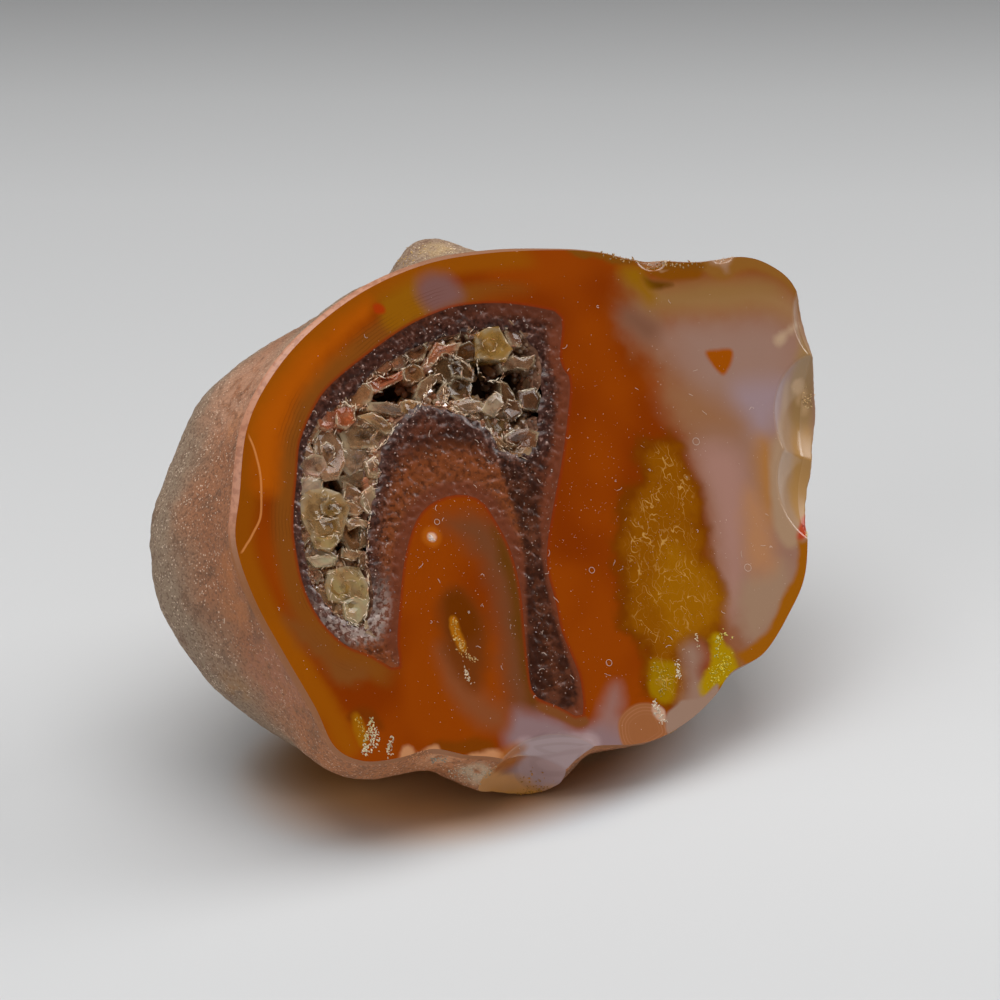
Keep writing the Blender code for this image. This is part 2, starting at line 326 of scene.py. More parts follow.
def rind_ring(depth, width):
    """One ring of the rind, drawn in to a width from 0 to 1."""
    arm = face_edge + (evened(face_edge) - face_edge) * min(depth / EVENING_DEPTH, 1.0) - FACE_CENTRE
    angle = np.degrees(np.arctan2(arm[:, 1], arm[:, 0]))
    out = CHAMFER_LEAST + (CHAMFER - CHAMFER_LEAST) * hill(turn_between(angle, CHAMFER_MIDDLE), CHAMFER_REACH)
    for direction, middle, reach_angle, reach_depth, top in SWELLS:
        shape = hill(turn_between(angle, direction), reach_angle) * hill(depth - middle, reach_depth)
        out += top * shape * min(depth / middle, 1.0)
    deep = np.column_stack((arm, np.full(len(arm), depth)))
    out += ROUGHNESS * noise_at(deep, ROUGHNESS_SCALE) * min(depth / ROUGHNESS_START, 1.0)
    lift = np.array((0.0, BACK_LIFT)) * (depth / NODULE_DEPTH) ** 2
    outward = arm / np.linalg.norm(arm, axis=1, keepdims=True)
    place = FACE_CENTRE + lift + arm * width + outward * (out * width)[:, None]
    return np.column_stack((place, np.full(len(place), depth)))


def rind_places():
    """All rings of the rind, from the edge of the face to the last small ring at the back."""
    start = np.column_stack((face_edge, np.zeros(EDGE_POINTS)))
    first = rind_ring(CHAMFER, 1.0)
    rings = [start + (first - start) * row / CHAMFER_ROWS for row in range(CHAMFER_ROWS)]
    for row in range(RIND_ROWS):
        turn = (row / RIND_ROWS) ** ROW_CROWDING * pi / 2
        depth = CHAMFER + (NODULE_DEPTH - CHAMFER) * sin(turn) ** (2 / DOME_POWER)
        rings.append(rind_ring(depth, cos(turn) ** (2 / DOME_POWER)))
    return np.array(rings)


rings = rind_places()
print("rind:", rings.shape[0], "rings of", rings.shape[1], "points")

# %% [markdown]
# The rings become one net of four-sided faces, closed by a fan at the back.
# The normals for the roughness come from the net itself: across two
# neighbouring rings and two neighbouring points. The stone stands on a small
# flat, so nothing may reach below zero.

# %% Mesh of the rind
def ring_normals(rings):
    """Outward normals of the lofted net."""
    around = np.roll(rings, -1, axis=1) - np.roll(rings, 1, axis=1)
    along = np.gradient(rings, axis=0)
    normals = np.cross(around, along)
    return normals / (np.linalg.norm(normals, axis=2, keepdims=True) + 1e-9)


def make_rind():
    """The nodule's rough skin as one piece."""
    normals = ring_normals(rings).reshape(-1, 3)
    places = rings.reshape(-1, 3)
    fade = np.clip((places[:, 2] - CHAMFER) / RIND_GRAIN_START, 0.0, 1.0)
    lift = sum(height * noise_at(places, size, size) for size, height in RIND_LUMPS)
    places = places + normals * (lift * fade)[:, None]
    back = np.array([(FACE_CENTRE[0], FACE_CENTRE[1] + BACK_LIFT, NODULE_DEPTH)])
    places, in_chip = push_out_of_chips(np.vstack((places, back)))
    points = stone_points(places)
    points[:, 2] = np.maximum(points[:, 2], 0.0)

    grid = np.arange(rings.shape[0] * EDGE_POINTS).reshape(rings.shape[:2])
    beside = np.roll(grid, -1, axis=1)
    faces = np.stack((grid[:-1], grid[1:], beside[1:], beside[:-1]), axis=2).reshape(-1, 4).tolist()
    pole = len(points) - 1
    faces += [(a, pole, b) for a, b in zip(grid[-1].tolist(), beside[-1].tolist())]
    piece = make_piece("rind", points, faces)
    store(piece, "in_chip", in_chip)
    store(piece, "depth", places[:, 2])
    return piece, places


rind, rind_at = make_rind()
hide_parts("agate")

# %% [markdown]
# ## Zones of the face
#
# An agate's colours lie in zones with edges that are crisp in some places and
# blurred in others. Each zone below is an outline drawn on the face,
# with the colour that it shows, how soft its edge is and how wavy, all in
# millimetres. Colours are screen values from 0 to 255, because that is how a
# person reads them off a picture. They are painted in this order, so a later
# zone covers an earlier one.

# %% Zones of colour
ZONES = {
    "bright_arc": ((168, 80, 2), 1.3, 0.4, [
        (-28.0, 9.5), (-25.6, 15.2), (-21.5, 19.0), (-16.0, 22.3), (-10.6, 24.3), (-10.0, 23.2),
        (-14.0, 20.8), (-19.4, 17.6), (-23.4, 13.4), (-25.6, 8.6)]),
    "yellow_arc": ((141, 86, 6), 0.9, 0.3, [
        (-8.7, 24.2), (-7.0, 25.0), (-4.1, 25.4), (-4.0, 23.5), (-3.8, 21.8), (-6.3, 21.1),
        (-8.4, 20.9), (-9.1, 22.2)]),
    "lavender_spot": ((120, 82, 76), 1.1, 0.2, [
        (-3.9, 25.2), (-2.5, 25.6), (-0.6, 25.0), (0.2, 23.7), (0.1, 22.5), (-1.4, 21.9),
        (-3.3, 21.7), (-4.2, 22.8), (-4.4, 24.2)]),
    "red_fleck": ((160, 52, 4), 0.25, 0.15, [
        (-9.6, 23.9), (-9.0, 24.0), (-8.5, 23.6), (-8.5, 23.1), (-9.0, 22.9), (-9.6, 23.1)]),
    "gold_lower_left": ((147, 76, 2), 0.9, 0.3, [
        (-31.0, -3.8), (-30.5, -6.6), (-29.6, -9.6), (-29.0, -12.1), (-28.4, -14.7),
        (-28.0, -17.0), (-27.0, -18.4), (-25.6, -18.0), (-26.0, -14.4), (-27.0, -11.8),
        (-27.8, -9.1), (-28.6, -6.7), (-29.2, -4.3)]),
    "mauve_lower_left": ((124, 70, 26), 1.0, 0.5, [
        (-29.0, -3.4), (-27.5, -4.7), (-26.1, -6.4), (-25.2, -8.3), (-23.9, -9.8),
        (-22.2, -10.8), (-22.6, -11.6), (-24.0, -11.8), (-25.8, -10.8), (-26.9, -8.5), (-28.5, -6.3)]),
    "swirl": ((116, 50, 3), 0.5, 0.2, [
        (-25.8, -14.7), (-24.3, -14.2), (-23.1, -14.8), (-22.5, -15.9), (-22.6, -17.0),
        (-23.7, -16.2), (-24.6, -15.5), (-25.4, -15.4)]),
    "tan_side": ((134, 80, 40), 2.8, 0.9, [
        (17.2, 16.4), (17.6, 18.6), (18.6, 19.2), (19.9, 18.1), (21.8, 15.5), (25.6, 14.8),
        (32.7, 14.0), (38.0, 14.8), (43.8, 16.8), (43.4, 9.1), (38.7, -3.0), (33.4, -13.8),
        (24.7, -20.2), (19.6, -24.2), (17.1, -21.2), (16.2, -19.0), (16.5, -17.0), (16.7, -13.8),
        (17.3, -9.7), (18.3, -5.6), (18.9, -2.5), (19.1, 0.8), (19.4, 4.1), (20.0, 6.8), (19.4, 9.2),
        (18.2, 11.7), (17.2, 13.6), (17.0, 15.2)]),
    "pale_side": ((145, 106, 88), 2.6, 0.5, [
        (17.8, 16.4), (18.8, 16.9), (20.9, 15.2), (25.2, 13.7), (31.0, 12.9), (35.9, 12.6),
        (41.8, 15.1), (43.4, 9.1), (38.7, -3.0), (33.4, -13.8), (24.7, -20.2), (19.6, -24.2),
        (18.3, -19.6), (17.8, -17.9), (18.2, -14.2), (18.8, -10.1), (19.8, -6.0), (20.0, -2.8),
        (19.8, 0.5), (20.2, 2.7), (20.8, 4.8), (20.9, 7.5), (20.4, 10.2), (19.2, 12.7), (18.0, 14.3),
        (17.4, 15.6)]),
    "grey_corner": ((120, 80, 60), 1.5, 0.2, [
        (16.8, 17.4), (17.8, 17.6), (19.2, 16.8), (20.6, 15.0), (20.0, 13.6), (18.6, 13.6),
        (17.4, 14.8), (16.7, 16.2)]),
    "tan_top": ((150, 110, 72), 2.2, 0.1, [
        (20.9, 18.4), (24.3, 17.9), (29.0, 17.3), (33.6, 16.5), (36.6, 14.5), (37.5, 11.6),
        (36.3, 11.6), (32.6, 13.8), (27.9, 14.4), (23.5, 15.7), (21.0, 17.1)]),
    "green_top": ((140, 103, 56), 2.6, 0.2, [
        (19.5, 20.1), (20.8, 18.9), (23.0, 18.2), (26.8, 18.0), (31.4, 17.2), (34.8, 16.4),
        (35.2, 15.4), (30.8, 15.5), (26.1, 16.2), (22.4, 16.6), (20.5, 17.4), (19.8, 18.7)]),
    "lavender_high": ((147, 113, 98), 2.6, 0.1, [
        (22.8, 13.9), (27.5, 13.2), (32.6, 12.1), (34.3, 9.7), (33.6, 5.9), (30.7, 2.2), (28.6, 0.5),
        (26.7, 2.0), (25.3, 4.8), (22.8, 7.1), (22.8, 10.6)]),
    "lavender_middle": ((149, 124, 126), 2.0, 0.1, [
        (27.5, 6.9), (30.4, 6.6), (32.5, 5.7), (31.8, 3.7), (29.5, 1.6), (27.8, 1.1), (26.6, 3.1),
        (26.0, 5.5)]),
    "tan_middle": ((144, 98, 66), 2.6, 0.3, [
        (19.0, 8.9), (21.3, 8.3), (23.7, 6.5), (25.8, 4.2), (26.3, 2.1), (23.4, 2.4), (20.2, 3.6),
        (18.8, 5.5)]),
    "pink_side": ((160, 118, 104), 1.9, 0.3, [
        (20.6, 1.3), (23.2, 1.1), (24.7, -0.7), (24.1, -4.9), (21.7, -10.8), (19.8, -14.6),
        (17.9, -15.8), (18.5, -12.1), (19.3, -8.0), (20.1, -3.9), (20.0, -1.1)]),
    "grey_low": ((152, 120, 96), 1.4, 0.5, [
        (20.7, -12.7), (23.5, -12.3), (25.9, -11.9), (25.5, -15.0), (22.8, -17.5), (19.9, -18.9),
        (18.8, -17.3), (19.2, -14.9)]),
    "glow": ((166, 110, 48), 1.9, 0.2, [
        (27.7, 0.7), (28.6, -0.2), (28.2, -2.7), (26.9, -6.0), (25.6, -7.5), (25.5, -5.8),
        (26.4, -2.2)]),
    "glow_low": ((168, 118, 82), 1.6, 0.4, [
        (24.3, -3.9), (25.5, -6.4), (25.5, -9.6), (24.3, -12.3), (21.9, -12.1), (22.2, -8.8)]),
    "beige_facet": ((160, 128, 100), 0.6, 0.2, [
        (33.7, 5.8), (34.0, 4.4), (34.0, 2.5), (34.9, 0.1), (32.9, -7.1), (30.0, -10.3), (28.2, -10.9),
        (26.6, -10.7), (26.1, -8.7), (26.7, -5.6), (27.7, -2.6), (28.8, -0.2), (30.3, 1.2),
        (32.1, 2.7), (32.9, 4.3)]),
    "edge_tan": ((148, 114, 72), 0.8, 0.2, [
        (36.7, 11.5), (37.1, 10.6), (37.2, 6.1), (35.7, 1.0), (34.0, -0.8), (33.7, 1.5), (34.1, 4.7),
        (34.8, 7.8), (35.8, 9.2)]),
    "edge_gold": ((164, 122, 70), 0.8, 0.3, [
        (33.3, 0.5), (35.3, -0.0), (31.5, -8.9), (29.9, -8.5), (30.9, -4.4)]),
    "brown_top": ((127, 70, 6), 0.4, 0.2, [
        (20.6, 21.1), (22.0, 21.5), (27.8, 20.6), (27.1, 18.8), (25.1, 18.8), (22.9, 19.3),
        (21.3, 20.3)]),
    "brown_hollow": ((96, 56, 4), 0.4, 0.2, [
        (20.6, 20.3), (21.5, 19.6), (23.3, 19.0), (23.6, 18.5), (22.1, 18.4), (20.8, 18.9)]),
    "rim_brown": ((136, 88, 34), 0.5, 0.2, [
        (27.2, 20.3), (29.6, 20.4), (33.6, 19.8), (37.6, 17.1), (38.9, 12.4), (37.6, 12.0),
        (36.8, 15.1), (35.3, 17.0), (33.2, 18.1), (31.5, 18.2), (29.6, 17.8), (28.1, 18.8)]),
    "yellow_tip": ((140, 92, 6), 1.1, 0.3, [
        (18.6, 21.6), (20.3, 21.6), (20.9, 20.6), (20.7, 19.4), (21.4, 17.9), (20.3, 17.5),
        (19.4, 19.0), (18.6, 20.3)]),
    "triangle": ((152, 74, 2), 0.3, 0.1, [
        (24.9, 11.0), (26.3, 10.9), (27.9, 10.5), (27.4, 9.3), (26.2, 8.3), (25.7, 8.5), (25.1, 9.6)]),
    "moss": ((112, 52, 0), 0.9, 0.7, [
        (13.9, 4.0), (15.5, 4.4), (16.8, 4.0), (18.2, 3.9), (18.9, 2.6), (18.8, 0.9), (19.3, -0.9),
        (19.8, -2.8), (18.9, -4.7), (18.8, -6.8), (17.8, -8.9), (18.0, -10.9), (18.4, -13.2),
        (17.2, -15.0), (16.5, -17.0), (15.1, -18.7), (13.7, -17.3), (12.2, -18.2), (11.2, -20.9),
        (10.9, -22.9), (9.0, -23.7), (7.3, -23.2), (7.0, -21.4), (5.5, -20.4), (6.6, -18.6),
        (6.9, -16.4), (5.9, -14.8), (5.5, -12.6), (6.6, -10.1), (7.2, -7.1), (8.1, -4.1), (9.4, -1.8),
        (10.7, -0.1), (13.0, 0.2), (13.1, 2.5)]),
    "moss_heart": ((136, 76, 0), 1.3, 1.0, [
        (15.0, 3.1), (16.5, 3.2), (17.7, 2.7), (18.1, 1.1), (18.6, -1.0), (18.7, -3.2), (17.6, -5.5),
        (17.4, -8.1), (16.7, -10.6), (17.3, -12.9), (16.4, -15.3), (14.8, -16.3), (12.8, -16.4),
        (11.2, -17.7), (10.6, -20.7), (9.8, -22.6), (7.9, -22.7), (7.6, -21.0), (6.8, -19.9),
        (7.8, -17.9), (7.9, -15.8), (7.0, -13.6), (7.7, -10.4), (8.3, -7.4), (9.4, -4.5), (11.0, -2.7),
        (12.4, -1.4), (14.5, -0.4), (14.2, 1.6)]),
    "moss_gold": ((150, 92, 2), 1.6, 0.8, [
        (13.4, -7.0), (15.4, -8.6), (17.2, -11.4), (17.6, -14.0), (16.2, -16.0), (13.6, -16.4),
        (11.6, -17.6), (10.4, -14.0), (11.6, -9.8)]),
    "moss_lavender": ((146, 112, 94), 1.2, 0.3, [
        (11.4, -17.8), (13.0, -17.3), (13.6, -18.9), (12.5, -20.7), (13.2, -22.5), (11.8, -24.4),
        (9.7, -24.9), (8.4, -23.9), (9.8, -22.6), (11.0, -20.8)]),
    "yellow_low": ((150, 110, 0), 0.5, 0.4, [
        (7.7, -18.2), (8.9, -18.1), (10.3, -18.9), (9.3, -20.8), (8.3, -22.4), (7.0, -21.9),
        (6.7, -20.1)]),
    "tongue_mauve": ((112, 64, 36), 1.9, 0.4, [
        (-9.4, 1.3), (-6.5, 1.0), (-4.4, -0.8), (-3.4, -4.4), (-4.1, -9.5), (-5.2, -14.4),
        (-6.0, -18.8), (-8.1, -19.5), (-8.7, -16.6), (-7.6, -11.7), (-6.8, -6.7), (-7.1, -3.1),
        (-8.5, -0.6)]),
    "tongue_olive": ((98, 56, 12), 0.8, 0.3, [
        (-4.5, -1.0), (-3.8, -2.8), (-3.7, -6.4), (-4.6, -11.4), (-5.8, -17.4), (-6.3, -19.5),
        (-6.7, -18.2), (-6.1, -13.1), (-5.2, -8.1), (-4.9, -4.0)]),
    "yellow_crust": ((164, 128, 2), 0.45, 0.4, [
        (15.0, -17.7), (16.0, -17.3), (16.3, -18.5), (17.1, -19.9), (16.7, -21.4), (15.2, -22.2),
        (13.4, -22.6), (12.1, -23.0), (12.2, -21.7), (12.9, -20.5), (14.3, -19.7)]),
    "lavender_column": ((144, 102, 92), 1.1, 0.2, [
        (2.6, -19.2), (3.4, -19.2), (3.4, -20.2), (3.0, -21.2), (2.4, -22.1), (2.8, -23.6),
        (1.7, -26.2), (-1.6, -26.3), (-1.6, -22.9), (-0.3, -22.1), (0.8, -20.9), (1.8, -19.8)]),
    "lavender_bottom": ((136, 108, 108), 1.1, 0.2, [
        (-9.9, -20.2), (-8.3, -18.9), (-6.9, -19.4), (-5.5, -20.2), (-3.9, -21.2), (-2.1, -22.6),
        (-0.0, -22.7), (2.0, -24.1), (3.4, -25.9), (-1.4, -26.3), (-7.0, -29.1), (-9.6, -25.1),
        (-10.2, -22.3), (-10.4, -21.2)]),
    "arc_low": ((132, 72, 38), 1.3, 0.3, [
        (-14.4, -10.9), (-12.8, -10.9), (-12.3, -13.4), (-11.3, -16.3), (-9.6, -18.6), (-9.8, -20.3),
        (-11.8, -19.7), (-13.8, -17.5), (-14.7, -14.4)]),
    "eye": ((109, 52, 14), 1.1, 0.3, [
        (-12.5, -6.3), (-10.9, -5.6), (-9.3, -6.7), (-8.5, -8.8), (-8.9, -11.4), (-10.0, -13.7),
        (-11.8, -15.8), (-12.9, -14.4), (-13.7, -12.2), (-13.5, -9.1)]),
    "eye_middle": ((103, 46, 1), 0.8, 0.3, [
        (-11.9, -6.4), (-10.4, -6.1), (-9.3, -7.5), (-9.4, -9.7), (-10.7, -10.9), (-12.3, -10.5),
        (-12.6, -8.5)]),
    "leg_foot": ((122, 70, 34), 0.3, 0.1, [
        (-5.9, -18.9), (-4.4, -19.1), (-2.8, -20.2), (-1.2, -21.4), (-1.2, -22.2), (-2.6, -22.2),
        (-4.1, -20.9), (-5.9, -19.5)]),
    "bottom_edge": ((121, 57, 3), 0.5, 0.3, [
        (-18.3, -19.7), (-15.9, -19.9), (-12.1, -21.0), (-12.6, -22.5), (-15.2, -21.5), (-17.4, -20.5)]),
    "corner_lip": ((186, 128, 86), 0.3, 0.3, [
        (-22.0, -20.4), (-21.1, -19.2), (-20.2, -19.4), (-20.0, -20.2), (-18.4, -19.9),
        (-17.7, -20.1), (-17.3, -21.1), (-16.7, -21.8), (-14.0, -21.7), (-11.2, -22.4), (-11.4, -24.2),
        (-16.9, -23.6), (-21.3, -22.2)]),
    "cone_crack": ((150, 92, 54), 0.2, 0.05, [
        (1.9, -23.2), (2.8, -22.2), (4.3, -21.7), (5.6, -21.8), (6.7, -22.4), (7.2, -23.7),
        (7.0, -25.6), (5.3, -26.3), (3.1, -26.6), (1.7, -25.2)]),
    "crack_white": ((190, 150, 126), 0.2, 0.3, [
        (6.4, -22.3), (7.3, -22.8), (7.4, -23.5), (7.2, -24.2), (6.4, -23.8), (6.2, -22.9)]),
    "glassy_corner": ((150, 119, 101), 0.2, 0.2, [
        (14.1, -22.0), (13.3, -24.4), (12.1, -25.1), (9.9, -25.4), (7.1, -25.8), (7.3, -23.6),
        (9.4, -22.8), (12.0, -22.9)]),
    "lip_lavender": ((170, 144, 144), 0.6, 0.2, [
        (-9.2, -22.0), (-6.6, -22.2), (-3.4, -22.6), (-1.0, -23.4), (-1.0, -25.4), (-3.0, -27.6),
        (-5.8, -27.0), (-8.2, -25.0)]),
    "lip_orange": ((162, 94, 40), 0.7, 0.2, [
        (-11.4, -22.6), (-9.8, -22.0), (-8.6, -22.6), (-8.2, -23.8), (-9.6, -24.0), (-11.2, -23.6)]),
    "lip_tan": ((200, 148, 94), 0.5, 0.3, [
        (-16.0, -22.6), (-11.4, -23.7), (-8.4, -24.6), (-6.0, -26.3), (-3.0, -27.4), (4.0, -27.5),
        (4.0, -36.0), (-16.0, -36.0)]),
    "lip_gold": ((206, 148, 58), 0.6, 0.5, [
        (-11.0, -25.6), (-8.0, -26.4), (-5.6, -27.0), (-4.0, -27.8), (-8.0, -32.0), (-14.0, -30.0)]),
    "nick_crust_left": ((176, 138, 104), 0.3, 0.4, [
        (22.2, 22.0), (22.4, 20.9), (23.0, 20.3), (23.8, 20.5), (24.2, 21.2)]),
    "nick_crust_right": ((150, 112, 84), 0.4, 0.4, [
        (29.0, 20.2), (29.6, 19.2), (30.2, 18.4), (30.9, 19.2), (31.6, 20.0)]),
    "ridge_crust": ((176, 140, 100), 0.5, 0.6, [
        (34.8, 5.0), (35.4, 5.2), (35.9, 4.2), (35.5, 3.0), (35.0, 2.7), (34.9, 3.6)]),
    # A painted highlight along the ridge of the broken right edge.
    "ridge_painted_highlight": ((174, 144, 116), 0.45, 0.3, [
        (33.0, 10.5), (33.9, 11.0), (35.2, 11.4), (37.0, 11.7), (36.9, 11.0), (35.0, 10.5), (33.6, 9.7)]),
    "top_dark": ((122, 70, 12), 0.35, 0.4, [
        (13.5, 25.1), (16.8, 23.9), (21.0, 22.3), (25.3, 20.8), (27.6, 20.4), (27.5, 19.5), (24.9, 19.9),
        (21.0, 21.1), (17.0, 22.7), (13.5, 24.2)]),
    "dot_halo": ((164, 82, 12), 0.35, 0.1, [
        (-12.3, -0.1), (-11.9, 0.8), (-11.0, 1.0), (-10.3, 0.3), (-10.5, -0.7), (-11.4, -1.0)]),
    "dot_pale": ((214, 168, 138), 0.16, 0.1, [
        (-11.7, -0.1), (-11.5, 0.4), (-11.0, 0.3), (-10.8, -0.2), (-11.2, -0.5)]),
    "eye_gold_zone": ((166, 98, 10), 0.25, 0.3, [
        (-12.2, -8.3), (-11.5, -8.2), (-11.5, -9.6), (-11.2, -11.0), (-11.8, -11.8), (-12.4, -10.4)]),
    "branch_glow": ((152, 92, 4), 0.35, 0.3, [
        (-25.2, -14.9), (-24.6, -14.8), (-24.2, -16.0), (-24.4, -17.6), (-25.2, -18.2), (-25.6, -17.0)]),
    "red_spot": ((168, 62, 34), 0.3, 0.2, [
        (31.3, -7.6), (29.2, -8.8), (28.2, -10.0), (28.6, -10.5), (30.4, -9.6)]),
    "gold_edge": ((150, 86, 8), 0.4, 0.2, [
        (30.8, -10.8), (28.6, -10.5), (28.1, -10.3), (27.0, -13.2), (24.9, -15.0), (22.7, -17.3),
        (20.6, -18.7), (18.1, -19.5), (17.1, -19.9), (19.5, -22.0), (22.9, -20.4), (26.9, -17.2),
        (29.5, -13.5)]),
}
print("zones:", len(ZONES))

# %% [markdown]
# The druse is the purple-brown band of tiny quartz crystals round the pocket.
# It has an outer border, an inner border round the orange tongue, and a leg
# that runs down to the lower edge. The crack near the left edge is a lens that
# catches the light along its border, where the face is painted with a pale painted highlight.

# %% Borders of the druse, the tongue and the crack
DRUSE_OUTER = [
    (10.2, 18.1), (8.2, 19.6), (4.0, 21.1), (-0.4, 21.8), (-3.9, 21.6), (-7.6, 20.8),
    (-12.8, 18.9), (-16.7, 17.2), (-18.9, 15.6), (-21.6, 12.6), (-22.9, 9.8), (-24.9, 5.2),
    (-25.7, 1.8), (-26.0, -1.7), (-25.4, -5.0), (-23.7, -8.0), (-21.5, -9.6), (-19.1, -11.7),
]
TONGUE_ARCH = [
    (-18.2, -8.9), (-16.6, -5.2), (-14.8, -1.5), (-12.6, 1.6), (-10.4, 3.1), (-7.4, 3.4),
    (-5.0, 2.3), (-4.1, 0.0), (-3.5, -3.3), (-3.8, -7.5), (-5.0, -12.4), (-6.0, -17.3),
]
DRUSE_LEG = [
    (-5.2, -18.6), (-3.6, -19.8), (-1.6, -21.3), (-0.5, -17.8), (-0.6, -15.1), (-0.8, -12.4),
    (-0.4, -9.4), (-0.2, -6.3), (0.9, -3.4), (3.0, 0.3), (5.2, 4.0), (7.2, 7.8), (8.9, 11.7),
    (8.5, 13.9),
]
TONGUE_FOOT = [(-8.0, -19.0), (-13.0, -17.0), (-17.0, -12.5)]
CRACK = [
    (-27.2, 15.6), (-26.6, 13.7), (-26.6, 11.7), (-26.8, 10.1), (-27.3, 8.4), (-28.1, 6.3),
    (-29.3, 5.0), (-30.3, 4.1), (-31.6, 3.4), (-32.4, 6.0), (-31.0, 10.0), (-29.0, 13.4),
]

# Two wide areas: the side of the face beyond the druse's outer border, and the upper left.
OUTER_SIDE = [
    (9.0, 22.5), (3.0, 22.0), (-0.4, 20.8), (-8.0, 19.5), (-16.0, 16.0), (-21.0, 11.0), (-24.5, 4.0),
    (-25.0, -2.0), (-24.0, -6.0), (-20.5, -9.0), (-19.5, -11.5), (-24.0, -14.0), (-34.0, -12.0),
    (-36.0, 6.0), (-26.0, 24.0), (-8.0, 31.0), (6.0, 30.0)]
UPPER_LEFT = [
    (-40.0, 6.0), (-30.0, 6.0), (-20.0, 10.0), (0.0, 20.0), (10.0, 22.0), (12.0, 32.0),
    (-20.0, 34.0), (-38.0, 20.0)]

# The dark heart of the druse's leg.
LEG_HEART = [
    (-6.3, -18.3), (-4.9, -19.5), (-2.1, -20.0), (-1.2, -18.6), (-1.1, -15.9), (-1.2, -13.4),
    (-1.1, -10.2), (-0.8, -7.2), (-0.2, -4.2), (0.7, -0.7), (1.7, 2.8), (1.7, 4.9), (-1.4, 5.8),
    (-1.6, 3.6), (-1.6, 0.9), (-1.8, -2.2), (-2.5, -5.7), (-4.0, -10.5), (-5.3, -14.4)]

POCKET_POINTS = 260
POCKET_JAG = 0.28                  # how far crystals break up the rim
JAG_SIZE = 0.8                     # millimetres from one jag to the next
pocket_rim = smooth_loop(POCKET_RIM, POCKET_POINTS)
rim_places = np.column_stack((pocket_rim, np.zeros(POCKET_POINTS)))
pocket_rim = pocket_rim + POCKET_JAG * np.column_stack(
    [noise_at(rim_places, JAG_SIZE, seed) for seed in (3.0, 5.0)])
OUTLINE_POINTS = 72
druse_outline = smooth_loop(DRUSE_OUTER + TONGUE_ARCH + DRUSE_LEG, 2 * OUTLINE_POINTS)
leg_heart = smooth_loop(LEG_HEART, OUTLINE_POINTS)
band_outlines = {name: smooth_loop(zone[-1], OUTLINE_POINTS) for name, zone in ZONES.items()}
band_outlines.update({
    "druse": druse_outline,
    "tongue": smooth_loop(TONGUE_ARCH + TONGUE_FOOT, OUTLINE_POINTS),
    "crack": smooth_loop(CRACK, OUTLINE_POINTS),
    "edge": thin_edge,
    "outer_side": smooth_loop(OUTER_SIDE, OUTLINE_POINTS),
    "upper_left": smooth_loop(UPPER_LEFT, OUTLINE_POINTS),
})


def store_bands(piece, places):
    """Keep the distance to every zone and border at each point of a piece."""
    for name, outline in band_outlines.items():
        store(piece, name, inside_distance(places, outline))


store_bands(rind, rind_at)
print("distances stored on the rind:", len(band_outlines))

# %% [markdown]
# ## The polished face
#
# The face is flat, so it could be one big polygon. But the shader reads its
# distances from the points of the mesh, so the face gets a net of small
# triangles, a third of a millimetre wide. A constrained Delaunay
# triangulation fits such a net exactly to the edge and to the pocket's rim.

# %% A net of triangles inside an outline
FACE_STEP = 0.30
EDGE_CLEARANCE = 0.6               # part of a step that points keep from the outlines


def triangle_grid(low, high, step):
    """Points of a grid of equal triangles that covers a rectangle."""
    rows = np.arange(low[1], high[1], step * sqrt(3) / 2)
    columns = np.arange(low[0], high[0], step)
    return np.array([(x + (step / 2 if i % 2 else 0.0), y) for i, y in enumerate(rows) for x in columns])


def net(outline, hole, step):
    """Triangles inside an outline and outside a hole: their points and faces."""
    points = triangle_grid(outline.min(axis=0), outline.max(axis=0), step)
    keep = inside_distance(points, outline) > step * EDGE_CLEARANCE
    loops = [outline]
    if hole is not None:
        keep &= inside_distance(points, hole) < -step * EDGE_CLEARANCE
        loops.append(hole)
    borders = []
    for loop in loops:
        first = len(borders)
        borders += [(first + i, first + (i + 1) % len(loop)) for i in range(len(loop))]
    every = np.vstack(loops + [points[keep]])
    flat, _, triangles, *_ = geometry.delaunay_2d_cdt([Vector(p) for p in every], borders, [], 0, 1e-6)
    flat = np.array([tuple(p) for p in flat])
    triangles = np.array(triangles)
    middle = flat[triangles].mean(axis=1)
    good = inside_distance(middle, outline) > 0
    if hole is not None:
        good &= inside_distance(middle, hole) < 0
    return flat, triangles[good]


print("width of the face's triangles:", FACE_STEP, "mm")

# %% [markdown]
# The druse isn't as flat as the polished chalcedony: its tiny crystals broke
# out here and there. Those points sink a little, more so next to the pocket.

# %% Mesh of the polished face
DRUSE_PITS = 0.22                  # deepest pits in the druse
PIT_SIZE = 0.55
RIM_ROUND = 0.8                    # width over which the rim of the pocket rounds off
RIM_DROP = 0.45
RIM_EVENNESS = 0.4                 # part of the drop that doesn't depend on the grain
DRUSE_FADE = 0.6                   # width over which the pits begin inside the druse's border
PIT_CONTRAST = 1.6


def make_face():
    """The sawn and polished face with its druse, as one piece."""
    flat, triangles = net(face_edge, pocket_rim, FACE_STEP)
    level = np.column_stack((flat, np.zeros(len(flat))))
    in_druse = np.clip(inside_distance(flat, druse_outline) / DRUSE_FADE, 0.0, 1.0)
    grain = np.clip(noise_at(level, PIT_SIZE, 11.0) * PIT_CONTRAST, 0.0, 1.0)
    from_pocket = -inside_distance(flat, pocket_rim)
    rounding = np.clip(1.0 - from_pocket / RIM_ROUND, 0.0, 1.0) ** 2
    drop = rounding * RIM_DROP * (RIM_EVENNESS + (1.0 - RIM_EVENNESS) * grain)
    level[:, 2] += in_druse * grain * DRUSE_PITS + drop
    level[:EDGE_POINTS, 2] = 0.0
    places, in_chip = push_out_of_chips(level)
    piece = make_piece("polished_face", stone_points(places), triangles.tolist())
    store_bands(piece, flat)
    store(piece, "leg", inside_distance(flat, leg_heart))
    store(piece, "pocket", -from_pocket)
    store(piece, "in_chip", in_chip)
    return piece


polished_face = make_face()
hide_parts("agate")

